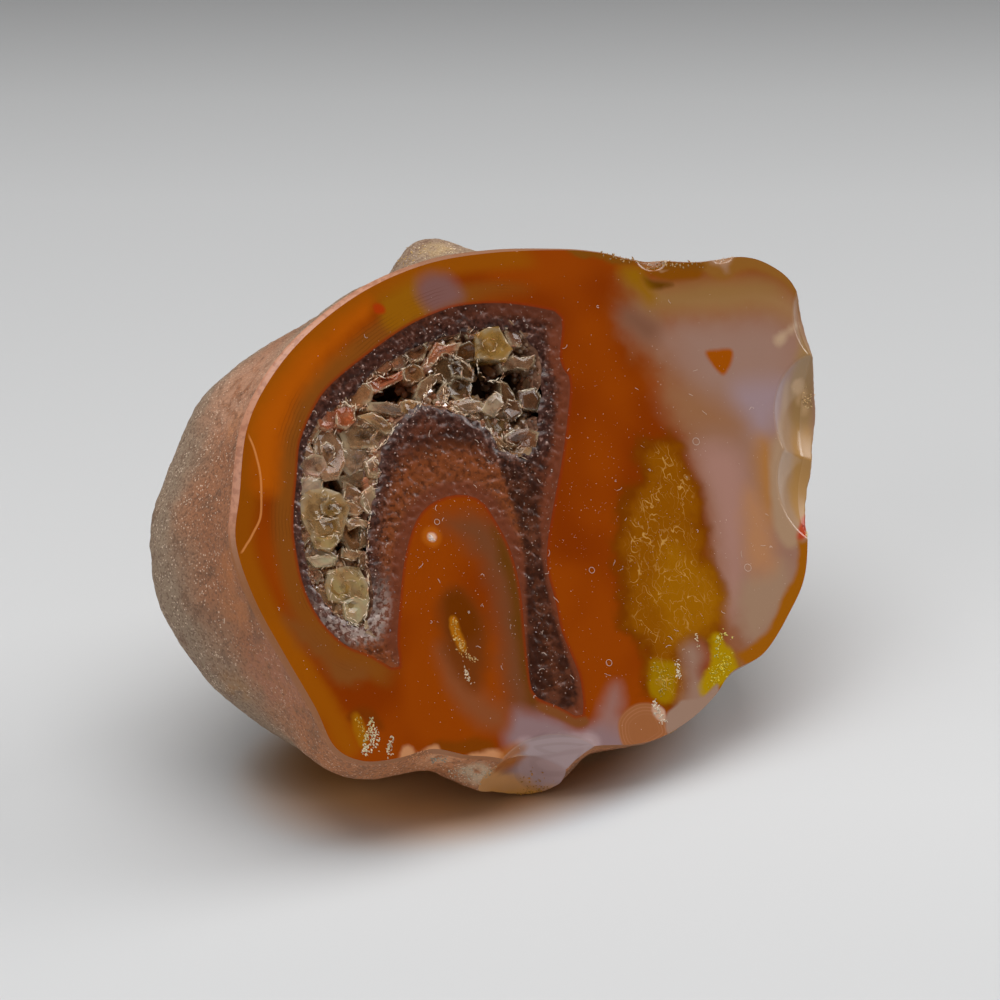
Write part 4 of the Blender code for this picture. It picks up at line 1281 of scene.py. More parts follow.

# %% [markdown]
# ## The large quartz crystals
#
# Quartz grew into the pocket from its wall. The largest crystals reach almost
# to the polished face, so their outlines can be drawn there. Each one
# is a block with a tilted top facet, bevelled sides and a root in the wall.
# The outlines below come with the colour of the crystal on screen and the
# depth of its upper rim in millimetres.

# %% Outlines of the crystals
BLOCKS = {
    "clear_left": ((150, 130, 112), 0.6, [
        (-19.6, 12.7), (-18.4, 13.5), (-17.5, 12.8), (-17.2, 11.2), (-17.7, 9.5), (-18.9, 8.3),
        (-20.2, 8.4), (-20.6, 9.9)]),
    "grey_block": ((140, 130, 118), 0.9, [
        (-17.2, 10.5), (-16.1, 10.9), (-14.7, 10.3), (-14.1, 9.5), (-15.6, 8.5), (-17.2, 8.2),
        (-17.9, 9.2)]),
    "grey_foot": ((132, 120, 102), 1.1, [
        (-17.1, 8.3), (-15.5, 8.5), (-14.3, 7.2), (-15.8, 6.9), (-17.0, 6.8), (-18.1, 7.1), (-18.5, 8.2)]),
    "green_rounded": ((150, 136, 100), 0.45, [
        (-23.2, 6.9), (-22.1, 7.4), (-20.5, 7.2), (-19.4, 6.4), (-18.8, 5.0), (-19.7, 3.8),
        (-20.4, 2.6), (-21.9, 1.6), (-23.0, 2.2), (-23.5, 3.9), (-23.7, 5.6)]),
    "white_rimmed": ((176, 166, 152), 0.7, [
        (-24.5, 1.9), (-23.6, 2.6), (-22.5, 1.9), (-21.4, 0.7), (-22.0, 0.0), (-23.6, 0.2), (-24.5, 0.9)]),
    "cream_large": ((176, 164, 126), 0.4, [
        (-22.8, -0.9), (-21.1, -0.9), (-20.0, -1.3), (-19.6, -2.8), (-19.8, -4.3), (-20.4, -5.7),
        (-21.3, -6.3), (-22.4, -5.7), (-22.3, -4.0), (-23.5, -3.3), (-23.4, -2.1)]),
    "brown_hollow": ((112, 86, 60), 1.1, [
        (-19.0, 4.5), (-17.8, 4.6), (-17.3, 3.5), (-18.3, 2.3), (-18.5, 0.5), (-19.6, 0.5),
        (-20.1, 2.2), (-19.7, 3.5)]),
    "small_grey": ((128, 118, 110), 1.2, [
        (-20.6, 0.2), (-19.8, 0.4), (-19.1, -0.3), (-19.4, -1.2), (-20.5, -1.1)]),
    "rust_red": ((160, 88, 56), 0.35, [
        (-16.7, 14.9), (-15.6, 15.2), (-14.8, 14.4), (-15.2, 13.2), (-16.3, 12.7), (-17.2, 13.2)]),
    "tan_rough": ((160, 128, 98), 0.5, [
        (-15.3, 16.7), (-14.2, 16.8), (-12.9, 16.4), (-12.4, 15.6), (-13.1, 14.7), (-14.6, 14.4),
        (-15.3, 15.4)]),
    "grey_tan": ((142, 126, 104), 0.9, [
        (-16.7, 12.3), (-15.4, 12.7), (-13.9, 12.5), (-12.9, 11.6), (-12.1, 10.6), (-14.0, 10.3),
        (-16.7, 10.8)]),
    "grey_bar": ((156, 145, 134), 0.6, [
        (-12.9, 14.5), (-11.0, 14.1), (-8.9, 13.0), (-8.4, 12.3), (-9.9, 12.4), (-12.0, 13.3),
        (-13.3, 13.8)]),
    # The next block is dark only to stand in for the shade under grey_bar: a painted shadow.
    "bar_painted_shadow": ((112, 98, 84), 1.3, [
        (-12.7, 13.7), (-11.3, 13.1), (-9.6, 12.3), (-11.0, 12.1), (-12.7, 12.3)]),
    "cream_corner": ((186, 160, 120), 0.5, [
        (-9.8, 13.8), (-8.7, 13.8), (-7.7, 13.4), (-8.1, 12.4), (-9.3, 12.1), (-9.9, 12.9)]),
    "pink_ledge": ((190, 124, 98), 0.35, [
        (-12.6, 16.4), (-11.3, 16.8), (-9.9, 16.3), (-8.5, 16.8), (-9.1, 16.0), (-10.6, 15.7),
        (-12.0, 15.4)]),
    "pink_point": ((196, 142, 116), 0.3, [
        (-6.1, 16.8), (-5.0, 17.8), (-4.0, 18.7), (-3.1, 18.2), (-1.8, 18.1), (-2.3, 17.5),
        (-3.8, 17.5), (-5.0, 16.7)]),
    "tan_block": ((160, 124, 86), 0.7, [
        (-8.3, 17.0), (-7.1, 17.3), (-6.3, 16.7), (-6.3, 15.8), (-7.6, 15.4), (-8.4, 16.0)]),
    "bent_arch": ((140, 126, 108), 0.8, [
        (-6.9, 15.3), (-5.6, 15.7), (-4.4, 15.7), (-4.0, 14.9), (-5.1, 15.0), (-6.3, 14.3),
        (-7.5, 13.6), (-7.9, 14.0)]),
    "smoky_left": ((104, 88, 66), 0.8, [
        (-4.9, 16.4), (-3.7, 17.3), (-2.7, 16.7), (-2.8, 15.3), (-3.7, 14.5), (-4.9, 15.1)]),
    "smoky_right": ((108, 92, 68), 0.9, [
        (-2.5, 16.6), (-1.4, 16.3), (-0.7, 15.4), (-1.4, 14.2), (-2.3, 14.8), (-2.6, 15.5)]),
    "smoky_low": ((114, 97, 74), 1.1, [
        (-3.8, 14.3), (-2.2, 14.9), (-1.3, 13.9), (-1.9, 12.8), (-3.2, 12.6), (-4.1, 13.4)]),
    "olive_brown": ((98, 68, 38), 0.6, [
        (-1.8, 17.9), (-0.5, 18.0), (0.3, 17.1), (-0.3, 16.3), (-1.6, 16.3), (-2.2, 17.0)]),
    "yellow": ((188, 164, 92), 0.2, [
        (0.5, 18.4), (1.6, 18.7), (3.0, 18.7), (3.3, 17.5), (3.6, 16.3), (2.6, 15.4), (1.2, 15.9),
        (-0.1, 16.3)]),
    "grey_ledge": ((152, 132, 116), 0.6, [
        (2.4, 15.2), (3.8, 15.6), (4.7, 15.0), (6.1, 15.1), (5.8, 14.4), (4.9, 13.9), (3.6, 14.4),
        (2.4, 14.3)]),
    "white_point": ((206, 202, 192), 0.3, [
        (-1.5, 11.0), (-0.5, 11.9), (0.7, 12.4), (1.1, 11.9), (0.9, 11.1), (-0.3, 10.1), (-1.1, 10.6)]),
    "olive_grey": ((126, 112, 78), 0.8, [
        (-0.7, 10.6), (0.1, 9.9), (1.2, 9.5), (0.4, 8.4), (-0.5, 7.7), (-1.0, 8.9), (-1.3, 10.0)]),
    "grey_rim": ((138, 118, 102), 0.6, [
        (-4.5, 12.6), (-3.0, 12.4), (-1.9, 11.5), (-2.6, 11.0), (-3.9, 10.9), (-4.3, 11.8)]),
    "grey_rim_low": ((120, 100, 84), 0.8, [
        (-2.0, 11.7), (-1.1, 10.8), (-1.3, 9.6), (-2.0, 10.1), (-2.7, 10.9)]),
    "brown_edge": ((132, 98, 78), 0.5, [
        (0.2, 7.9), (1.4, 8.3), (2.8, 7.9), (3.5, 7.3), (2.6, 6.0), (1.0, 6.7), (0.3, 7.3)]),
    "grey_edge": ((150, 134, 114), 0.6, [
        (-1.0, 8.2), (-0.2, 7.4), (0.4, 6.4), (1.0, 5.4), (-0.6, 5.5), (-1.1, 6.6)]),
    "brown_right": ((110, 88, 68), 1.0, [
        (1.8, 13.4), (2.4, 12.9), (2.8, 11.8), (2.7, 10.2), (1.6, 10.0), (1.3, 11.6)]),
    "glass_low_left": ((140, 122, 108), 0.7, [
        (-22.3, 9.9), (-21.2, 10.4), (-20.6, 9.6), (-20.8, 8.3), (-22.1, 7.7), (-22.6, 8.5)]),
    "glass_small": ((146, 126, 112), 0.8, [
        (-25.0, 0.6), (-23.9, 0.4), (-23.4, -0.6), (-24.1, -1.4), (-24.8, -0.8)]),
    "foot_left": ((140, 124, 104), 0.8, [
        (-24.3, -2.0), (-23.4, -2.6), (-22.7, -3.8), (-22.8, -5.3), (-23.8, -4.4), (-24.5, -3.2)]),
    "foot_right": ((134, 112, 96), 0.7, [
        (-22.7, -6.1), (-21.5, -6.5), (-20.4, -7.4), (-21.0, -8.4), (-22.1, -7.7), (-22.8, -6.9)]),
    "tan_upper": ((122, 88, 66), 0.5, [
        (-7.0, 19.3), (-5.8, 19.5), (-5.2, 18.5), (-6.0, 17.5), (-7.2, 17.5), (-7.7, 18.5)]),
    "dark_upper": ((98, 66, 52), 0.4, [
        (-2.9, 20.7), (-1.4, 20.8), (-0.7, 19.8), (-1.5, 18.7), (-2.8, 19.0)]),
    "mauve_right": ((126, 96, 84), 0.5, [
        (3.8, 18.4), (5.1, 18.7), (5.6, 17.7), (4.9, 16.4), (3.8, 16.6)]),
    "clear_hollow": ((112, 94, 74), 0.25, [
        (-19.5, 11.6), (-18.8, 11.8), (-18.3, 11.1), (-18.6, 10.1), (-19.4, 9.8), (-19.8, 10.4)]),
    "clear_window": ((96, 78, 56), 0.3, [
        (-20.0, 9.8), (-19.2, 9.7), (-18.7, 9.1), (-19.3, 8.6), (-20.0, 9.0)]),
    "green_hollow": ((108, 98, 56), 0.15, [
        (-21.5, 5.9), (-20.5, 6.3), (-19.8, 5.6), (-19.9, 4.8), (-20.9, 4.6), (-21.6, 5.1)]),
    "green_window": ((110, 96, 54), 0.2, [
        (-23.0, 4.7), (-21.6, 4.6), (-20.4, 4.2), (-20.5, 3.3), (-21.3, 2.7), (-22.7, 2.9),
        (-23.2, 3.7)]),
    "green_lip": ((216, 190, 146), 0.12, [
        (-23.5, 3.1), (-22.6, 2.6), (-21.4, 2.4), (-20.8, 2.9), (-20.9, 2.0), (-22.1, 1.5),
        (-23.3, 2.0)]),
    "cream_window": ((126, 114, 62), 0.15, [
        (-23.0, -1.5), (-21.4, -1.7), (-21.2, -2.5), (-21.6, -3.4), (-22.8, -3.5), (-23.4, -2.6)]),
    "cream_top": ((214, 202, 168), 0.1, [
        (-23.0, -0.9), (-22.1, -0.7), (-21.0, -1.1), (-20.0, -1.5), (-19.6, -2.3), (-20.9, -2.1),
        (-22.2, -1.6)]),
    "cream_low": ((218, 208, 184), 0.12, [
        (-22.3, -3.9), (-21.0, -3.7), (-20.0, -4.4), (-20.5, -5.5), (-21.6, -6.1), (-22.6, -5.5)]),
    "white_band": ((226, 218, 204), 0.3, [
        (-24.5, 1.2), (-23.4, 1.2), (-22.2, 0.9), (-21.7, 0.5), (-22.5, -0.1), (-24.0, 0.2)]),
    "smoky_window": ((70, 52, 34), 0.5, [
        (-3.3, 16.4), (-2.3, 16.4), (-2.0, 15.7), (-2.5, 14.8), (-3.4, 15.1)]),
    "yellow_square": ((150, 124, 56), 0.08, [
        (0.9, 17.7), (1.8, 17.9), (2.3, 17.3), (1.9, 16.6), (1.1, 16.5), (0.7, 17.1)]),
    "pale_pink": ((204, 176, 168), 0.35, [
        (-22.0, 10.5), (-20.7, 10.9), (-19.8, 10.4), (-19.7, 9.4), (-20.9, 8.6), (-22.0, 9.1),
        (-22.4, 9.8)]),
    "pink_spark": ((214, 196, 190), 0.3, [
        (-22.6, 8.8), (-21.4, 8.9), (-20.5, 8.3), (-20.9, 7.3), (-22.1, 7.1), (-23.1, 7.6)]),
    "red_tint_low": ((150, 96, 78), 0.5, [
        (-19.0, 14.4), (-17.7, 15.1), (-16.8, 14.5), (-17.0, 13.3), (-18.2, 13.0), (-19.1, 13.4)]),
    "red_tint_high": ((142, 92, 70), 0.5, [
        (-17.7, 15.8), (-16.6, 16.4), (-15.4, 15.9), (-15.5, 15.0), (-16.7, 14.7), (-17.7, 15.0)]),
    "grey_arch_face": ((150, 138, 120), 0.9, [
        (-13.3, 9.8), (-12.1, 10.6), (-11.0, 11.1), (-10.5, 11.9), (-11.4, 12.1), (-12.8, 11.8),
        (-14.0, 11.0)]),
    "low_glass": ((178, 168, 160), 0.45, [
        (-20.6, -6.3), (-19.3, -6.3), (-18.4, -6.9), (-19.0, -8.0), (-20.3, -8.0), (-21.2, -7.2)]),
    "low_glint": ((206, 198, 192), 0.3, [
        (-18.8, -6.6), (-17.8, -6.4), (-17.9, -7.3), (-18.8, -7.9), (-19.2, -7.4)]),
    "low_brown": ((120, 92, 78), 0.4, [
        (-22.7, -7.7), (-21.2, -8.0), (-20.4, -8.9), (-21.2, -9.7), (-22.2, -9.0)]),
    "low_dark": ((92, 66, 54), 0.45, [
        (-20.3, -8.5), (-18.8, -8.2), (-18.4, -9.4), (-19.0, -10.5), (-20.2, -10.3)]),
    "tissue_left": ((196, 180, 158), 0.35, [
        (-15.5, 8.9), (-14.4, 9.1), (-14.1, 8.2), (-14.7, 7.1), (-15.5, 7.5)]),
    "tissue_low": ((204, 190, 172), 0.3, [
        (-16.6, 6.1), (-15.7, 6.3), (-15.4, 5.0), (-16.1, 3.7), (-16.9, 4.1), (-17.2, 5.2)]),
    "bone_left": ((178, 160, 134), 0.5, [
        (-19.4, 3.7), (-18.4, 3.9), (-17.3, 3.3), (-17.1, 2.5), (-18.3, 3.0), (-19.2, 2.8)]),
    "bone_low": ((172, 152, 126), 0.6, [
        (-20.4, 1.3), (-19.3, 0.6), (-18.8, 0.1), (-20.0, -0.1), (-20.8, 0.5)]),
    "rim_mid": ((186, 164, 132), 0.35, [
        (-14.5, 13.4), (-13.2, 13.4), (-12.1, 12.7), (-11.2, 11.3), (-12.4, 11.1), (-13.4, 12.2)]),
    "grey_center": ((150, 136, 118), 0.6, [
        (-4.5, 14.6), (-4.1, 13.6), (-4.9, 12.8), (-5.7, 12.5), (-5.5, 13.7)]),
    "grey_shelf": ((160, 148, 134), 0.55, [
        (-4.3, 12.6), (-2.7, 12.6), (-1.3, 11.9), (-1.2, 11.0), (-2.8, 11.0), (-3.9, 11.7)]),
    "tan_shelf": ((176, 156, 128), 0.5, [
        (-1.4, 7.0), (0.1, 6.9), (1.8, 6.3), (2.9, 6.2), (1.7, 5.4), (-0.3, 5.7), (-1.5, 6.2)]),
    "right_b": ((104, 78, 64), 0.8, [(3.5, 11.9), (5.1, 11.9), (5.4, 10.8), (4.5, 9.7), (3.1, 10.3)]),
    "right_c": ((116, 92, 76), 0.6, [(1.8, 11.4), (2.8, 10.9), (2.8, 9.7), (1.5, 9.3), (0.9, 10.3)]),
    "top_a": ((108, 78, 64), 0.4, [
        (-4.3, 20.6), (-3.0, 21.0), (-2.4, 20.2), (-3.1, 19.3), (-4.5, 19.4)]),
    "top_b": ((150, 120, 106), 0.4, [
        (-0.3, 20.1), (1.3, 20.2), (2.3, 19.6), (1.1, 19.0), (-0.4, 19.1)]),
    "top_c": ((176, 150, 136), 0.35, [(3.1, 20.0), (4.3, 19.5), (4.9, 18.5), (3.7, 18.4), (2.8, 19.2)]),
    "top_d": ((166, 140, 130), 0.35, [(5.6, 19.2), (6.8, 18.5), (6.8, 17.2), (5.6, 17.1), (5.1, 18.3)]),
    "left_a": ((132, 108, 92), 0.5, [
        (-20.6, 13.6), (-19.4, 13.9), (-19.3, 13.0), (-20.2, 12.2), (-21.0, 12.6)]),
    "left_b": ((150, 128, 114), 0.5, [
        (-21.4, 12.1), (-20.5, 12.1), (-20.4, 11.0), (-21.4, 10.6), (-21.8, 11.4)]),
    "left_c": ((120, 100, 84), 0.5, [
        (-23.5, 7.0), (-22.9, 7.1), (-23.3, 5.7), (-24.1, 4.9), (-24.1, 5.9)]),
    "left_d": ((126, 104, 88), 0.5, [
        (-24.4, 4.5), (-23.5, 4.5), (-23.5, 3.3), (-24.4, 2.5), (-24.8, 3.2)]),
    "mid_a": ((134, 112, 92), 0.9, [
        (-18.1, 7.6), (-17.0, 6.7), (-16.6, 6.0), (-17.7, 5.5), (-18.6, 6.1)]),
    "mid_b": ((150, 128, 104), 0.7, [
        (-18.6, 5.6), (-17.4, 5.3), (-17.0, 4.4), (-18.1, 4.0), (-19.0, 4.5)]),
    "mid_c": ((122, 104, 84), 0.8, [(-17.8, 2.8), (-17.1, 2.2), (-17.8, 0.9), (-18.7, 0.9)]),
    "mid_d": ((140, 122, 104), 0.7, [(-19.0, 0.6), (-18.3, 0.2), (-18.5, -1.2), (-19.4, -1.0)]),
    "hi_a": ((168, 128, 104), 0.5, [
        (-9.2, 18.2), (-8.1, 18.8), (-7.4, 18.0), (-8.2, 17.1), (-9.3, 17.2)]),
    "hi_b": ((150, 110, 90), 0.5, [
        (-10.9, 18.4), (-9.5, 18.7), (-9.4, 17.6), (-10.5, 17.0), (-11.5, 17.5)]),
    "hi_c": ((120, 84, 66), 0.5, [
        (-13.4, 17.9), (-11.9, 18.2), (-11.5, 17.3), (-12.7, 16.5), (-13.7, 16.9)]),
    "hi_d": ((128, 92, 74), 0.5, [
        (-6.3, 20.1), (-5.0, 20.4), (-4.4, 19.4), (-5.3, 18.8), (-6.5, 19.3)]),
    "hi_e": ((134, 104, 84), 0.5, [(1.0, 19.2), (0.3, 19.8), (-0.7, 19.4), (-0.4, 18.5), (0.5, 18.3)]),
}
ROOT_DEPTH = 4.2                   # where a block ends in the wall of the pocket
ROOT_WIDTH = 0.85                  # its width there
RIM_WIDTH = 0.13                   # the frosted rim round its upper edge
BLOCK_GROWTH = 1.15                # neighbours touch each other
TINT_SPREAD = 0.30                 # how much the tint changes over one crystal
# Painted light: the crystals' tints are painted lighter, most on the left.
BLOCK_PAINTED_LIGHT = ((-22.0, 1.75), (-17.0, 1.45), (-8.0, 1.1))   # lifts the tints, most on the left
MILK = (184, 156, 122)             # the cloud in every crystal
MILKINESS = 0.12
WARMTH = (1.34, 0.97, 0.72)        # iron stains everything in the pocket
BRIGHTEST = 0.96                   # no surface colour goes above this
KEPT_HUE = 0.6                     # how much of its hue a colour keeps when it is brought down to that
LEAN = 0.22                        # slope of the tilted facets, at most
# The rest is drawn between two limits. Four are parts of the crystal's mean radius: how far aside
# the peak lies, how high the bevel rises, how wide the top facets are, how deep the peak lies.
PEAK_ASIDE, BEVEL_RISE, TOP_WIDTH, PEAK_DEPTH = (-0.35, 0.35), (0.02, 0.14), (0.35, 0.75), (-0.25, 0.45)
RIM_STEPS, TOP_DEPTH = (-0.10, 0.16), (0.03, 0.10)   # unevenness of the rim, least depth of the top
WIDEST_PEAK = 1.4                  # a larger crystal has no deeper peak than one of this radius
SHALLOWEST_ROOT = 0.8              # a root is at least this far below its rim
SEED = 7
draw = np.random.default_rng(SEED)


def surface(colour):
    """A screen colour as a surface colour without alpha."""
    return np.array(seen(colour)[:3])


def stained(colour):
    """The surface colour of a crystal in the pocket, warmed by the iron stain."""
    return surface(colour) * WARMTH


def add_solid(store_into, points, faces, tint, rim):
    """Append one small solid to lists of points, faces, tints and rim marks."""
    start = len(store_into["points"])
    store_into["points"] += [tuple(p) for p in points]
    store_into["faces"] += [tuple(start + i for i in face) for face in faces]
    shades = draw.uniform(1.0 - TINT_SPREAD, 1.0 + TINT_SPREAD / 2, len(points))
    tint = np.array(tint)
    tint = tint / max(1.0, tint.max() / BRIGHTEST) ** KEPT_HUE
    store_into["tints"] += [tuple(np.minimum(tint * shade, BRIGHTEST)) for shade in shades]
    store_into["rims"] += list(rim)


def block(outline, depth):
    """A crystal from its outline: frosted rim, tilted facets, a peak or a hollow, and the root."""
    outer = np.array(outline)
    middle = outer.mean(axis=0)
    outer = middle + (outer - middle) * BLOCK_GROWTH
    radius = np.linalg.norm(outer - middle, axis=1).mean()
    count = len(outer)
    tilt = draw.uniform(-LEAN, LEAN, 2)
    peak = middle + draw.uniform(*PEAK_ASIDE, 2) * radius
    rise = draw.uniform(*BEVEL_RISE) * radius
    inner = peak + (outer - peak) * draw.uniform(*TOP_WIDTH)
    frosted = middle + (outer - middle) * (1.0 - RIM_WIDTH / radius)
    root = middle + (outer - middle) * ROOT_WIDTH
    level = depth + (outer - middle) @ tilt + draw.uniform(*RIM_STEPS, count)
    peak_depth = depth + draw.uniform(*PEAK_DEPTH) * min(radius, WIDEST_PEAK)
    points = np.vstack((
        np.column_stack((outer, level)),
        np.column_stack((frosted, level - rise)),
        np.column_stack((inner, depth - rise * 1.6 + (inner - middle) @ tilt)),
        np.column_stack((root, np.full(count, max(ROOT_DEPTH, depth + SHALLOWEST_ROOT)))),
        [(*peak, peak_depth)],
    ))
    points[:, 2] = np.maximum(points[:, 2], draw.uniform(*TOP_DEPTH))
    faces = [tuple(range(3 * count, 4 * count))]
    for i in range(count):
        j = (i + 1) % count
        for upper, lower in ((1, 0), (2, 1), (0, 3)):
            a, b = upper * count, lower * count
            faces.append((a + i, a + j, b + j, b + i))
        faces.append((2 * count + i, 4 * count, 2 * count + j))
    return points, faces, [1.0] * (2 * count) + [0.3] * count + [0.0] * (count + 1)


def empty_lists():
    """Lists that collect many small solids into one mesh."""
    return {"points": [], "faces": [], "tints": [], "rims": []}


def make_joined(name, lists, smooth=False):
    """One piece from many small solids, with their tints and rim marks stored."""
    piece = make_piece(name, stone_points(lists["points"]), lists["faces"], smooth)
    tint = piece.data.attributes.new("tint", "FLOAT_COLOR", "POINT")
    tint.data.foreach_set("color", np.hstack((lists["tints"], np.ones((len(lists["tints"]), 1)))).ravel())
    store(piece, "rim", lists["rims"])
    return piece


def make_blocks():
    """All large crystals as one piece."""
    lists = empty_lists()
    for tint, depth, outline in BLOCKS.values():
        points, faces, rim = block(outline, depth)
        pale = stained(tint) * (1.0 - MILKINESS) + stained(MILK) * MILKINESS
        light = np.interp(np.mean(outline, axis=0)[0], *zip(*BLOCK_PAINTED_LIGHT))
        add_solid(lists, points, faces, pale * light, rim)
    return make_joined("large_crystals", lists)


large_crystals = make_blocks()
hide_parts("agate")

# %% [markdown]
# ## The lining of small crystals
#
# Between the large crystals the wall is lined with small ones. Each is a
# six-sided prism with a point. They stand on the wall at random, lean at
# random, and get smaller towards the rim. The random numbers have a fixed
# start, so every run gives the same crystals.

# %% Lining crystals
LINING_COUNT = 1100
LINING_SIZE = (0.18, 0.62)         # radius of the thinnest and the thickest, in millimetres
DARK_SIDE = (-2.0, 3.0)            # from this u to that one the lining gets darker
DARKENING = 0.55
COVERED = 0.4                      # no small crystal stands farther than this inside a large one
OPEN_PART = 0.75                   # part of a hole's radius that stays free of crystals
CROWDING = (2.2, 0.45)             # width over which they thin out inwards, and the least share
LINING_LEAN = 0.55                 # how far they lean, on average
LINING_LENGTH = (1.2, 3.0)         # how much longer than thick they are
LINING_SHADE = (0.75, 1.1)
SIDES = 6
PRISM_RIM = [0.2] * SIDES + [0.8] * SIDES + [1.0]   # how frosted the foot, shoulder and point are
LINING_TINTS = [
    (144, 116, 92), (162, 142, 120), (116, 82, 58), (170, 130, 102), (132, 100, 74), (190, 174, 154),
    (104, 72, 50), (156, 116, 92), (140, 122, 86), (190, 144, 120), (176, 156, 128)]


def prism(base, axis, radius, length):
    """Points and faces of a six-sided prism with a point."""
    axis = axis / np.linalg.norm(axis)
    side = np.cross(axis, (0.31, 0.87, 0.39))
    side /= np.linalg.norm(side)
    other = np.cross(axis, side)
    around = np.arange(SIDES) * 2 * pi / SIDES
    ring = radius * (np.cos(around)[:, None] * side + np.sin(around)[:, None] * other)
    skew = draw.uniform(-0.3, 0.3, SIDES)[:, None] * radius * axis
    points = np.vstack((base + ring, base + ring + axis * length + skew, base + axis * (length + radius)))
    faces = [tuple(range(SIDES - 1, -1, -1))]
    for i in range(SIDES):
        j = (i + 1) % SIDES
        faces += [(i, j, SIDES + j, SIDES + i), (SIDES + i, SIDES + j, 2 * SIDES)]
    return points, faces


def make_lining():
    """Small crystals over the wall and the floor of the pocket."""
    lists = empty_lists()
    low, high = pocket_rim.min(axis=0), pocket_rim.max(axis=0)
    spots = draw.uniform(low, high, (LINING_COUNT * 4, 2))
    inward = inside_distance(spots, pocket_rim)
    chance = np.exp(-inward / CROWDING[0]) + CROWDING[1]
    keep = (inward > 0.05) & (draw.uniform(0.0, 1.0, len(spots)) < chance)
    for *centre, radius in HOLES:
        keep &= np.linalg.norm(spots - centre, axis=1) > radius * OPEN_PART
    for *_, outline in BLOCKS.values():
        keep &= inside_distance(spots, np.array(outline)) < COVERED
    spots, inward = spots[keep][:LINING_COUNT], inward[keep][:LINING_COUNT]
    depths = pocket_depth(spots)
    for spot, near, depth in zip(spots, inward, depths):
        radius = draw.uniform(*LINING_SIZE) * (0.45 + 0.55 * min(near / 1.2, 1.0))
        axis = np.array((*draw.normal(0.0, LINING_LEAN, 2), -1.0))
        base = np.array((*spot, depth + 0.3))
        length = min(radius * draw.uniform(*LINING_LENGTH), max(depth - radius - 0.1, 0.1))
        points, faces = prism(base, axis, radius, length)
        points[:, 2] = np.maximum(points[:, 2], 0.02)
        shade = draw.uniform(*LINING_SHADE)
        darkened = np.clip((spot[0] - DARK_SIDE[0]) / (DARK_SIDE[1] - DARK_SIDE[0]), 0.0, 1.0) * DARKENING
        tint = stained(LINING_TINTS[draw.integers(len(LINING_TINTS))]) * shade * (1.0 - darkened)
        add_solid(lists, points, faces, tint, PRISM_RIM)
    return make_joined("lining_crystals", lists)


lining = make_lining()
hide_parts("agate")

# %% [markdown]
# ## Broken rims
#
# The crystals' upper edges are frosted and broken, and thin crusts run along
# the border of the pocket. Seen from a little way off they are cream-coloured
# dashes. Small flakes are strung along the outlines of the large crystals and
# along a few more given paths.

# %% Flakes along edges
RIM_PATHS = {
    "arch_left": [(-7.8, 13.4), (-9.6, 12.1), (-11.4, 11.5), (-12.4, 10.5), (-14.0, 9.9), (-15.1, 9.9)],
    "arch_side": [
        (-14.8, 8.8), (-14.3, 7.6), (-15.2, 6.4), (-16.6, 5.2), (-16.7, 3.8), (-17.6, 2.4),
        (-18.1, 0.6), (-18.7, -0.5), (-19.2, -2.4), (-19.9, -4.5), (-20.8, -6.1)],
    "arch_right": [
        (-4.3, 14.7), (-4.9, 13.7), (-5.0, 12.7), (-4.4, 11.6), (-3.0, 10.7), (-1.8, 10.0),
        (-1.3, 8.6), (-0.8, 7.1), (-0.1, 5.7), (1.3, 5.1)],
    "right_edge": [(0.2, 7.2), (1.2, 6.2), (3.1, 5.9)],
    "hole_rim": [(-0.3, 16.1), (-0.6, 14.9), (0.0, 13.9), (1.4, 13.3), (2.2, 14.2)],
    "upper_rim": [(-3.2, 17.8), (-2.5, 16.8), (-1.4, 15.9), (-1.2, 14.6)],
    "hook": [(-9.4, 11.9), (-7.6, 13.3), (-6.5, 14.5), (-5.3, 15.1)],
    "left_rim": [(-16.1, 15.4), (-15.2, 14.7), (-14.3, 14.1), (-13.3, 14.5)],
    "bottom_rim": [(-22.9, -5.8), (-22.3, -6.3), (-21.0, -6.5)],
}
FLAKE_GAP = 0.15                   # millimetres between two flakes on a path
BLOCK_FLAKE_GAP = 0.34
EDGE_FLAKE = (0.06, 0.15)
EDGE_STRETCH = (1.4, 3.4)          # how much longer than wide a flake is
BARE_SHARE = 0.22                  # part of a path that has no flakes
PATH_DEPTH = 0.22
BLOCK_LIFT = 0.08                  # flakes on a crystal lie this far above its rim
EDGE_RIM, FACE_RIM = [1.0] * 6, [0.0] * 6   # frosted flakes on edges, plain ones on faces
FLAKE_SHADE = (0.7, 1.05)
GLINT_TRIES = 5200
# Chance of a glint anywhere, what is added beside the pocket and how far that reaches, and in the leg.
GLINT_CHANCE, GLINT_BESIDE, GLINT_REACH, GLINT_IN_LEG = 0.12, 0.6, 1.4, 0.35
GLINT_CLEARANCE = 0.15             # millimetres from the druse's border that stay free
GLINT_SIZE = (0.04, 0.13)
GLINT_TINTS = [(222, 200, 190), (196, 150, 132), (206, 180, 158), (170, 150, 160)]
FLAKE_TINTS = [(206, 188, 160), (190, 164, 132), (222, 212, 194), (176, 140, 108), (206, 168, 142)]


def flake(centre, along, size, stretch=1.0):
    """A thin splinter with six corners, longer along its path."""
    along = np.array((*along, draw.uniform(-0.4, 0.4)))
    along /= np.linalg.norm(along) + 1e-9
    across = np.cross(along, (0.0, 0.0, 1.0)) * draw.uniform(0.3, 0.6)
    along *= stretch
    deep = np.array((0.0, 0.0, draw.uniform(0.5, 1.2)))
    bend = draw.normal(0.0, 0.12, 3)
    points = centre + size * np.array((along + bend, -along, across, -across, deep, -deep * 0.5))
    faces = [(0, 2, 5), (2, 1, 5), (1, 3, 5), (3, 0, 5), (2, 0, 4), (1, 2, 4), (3, 1, 4), (0, 3, 4)]
    return points, faces


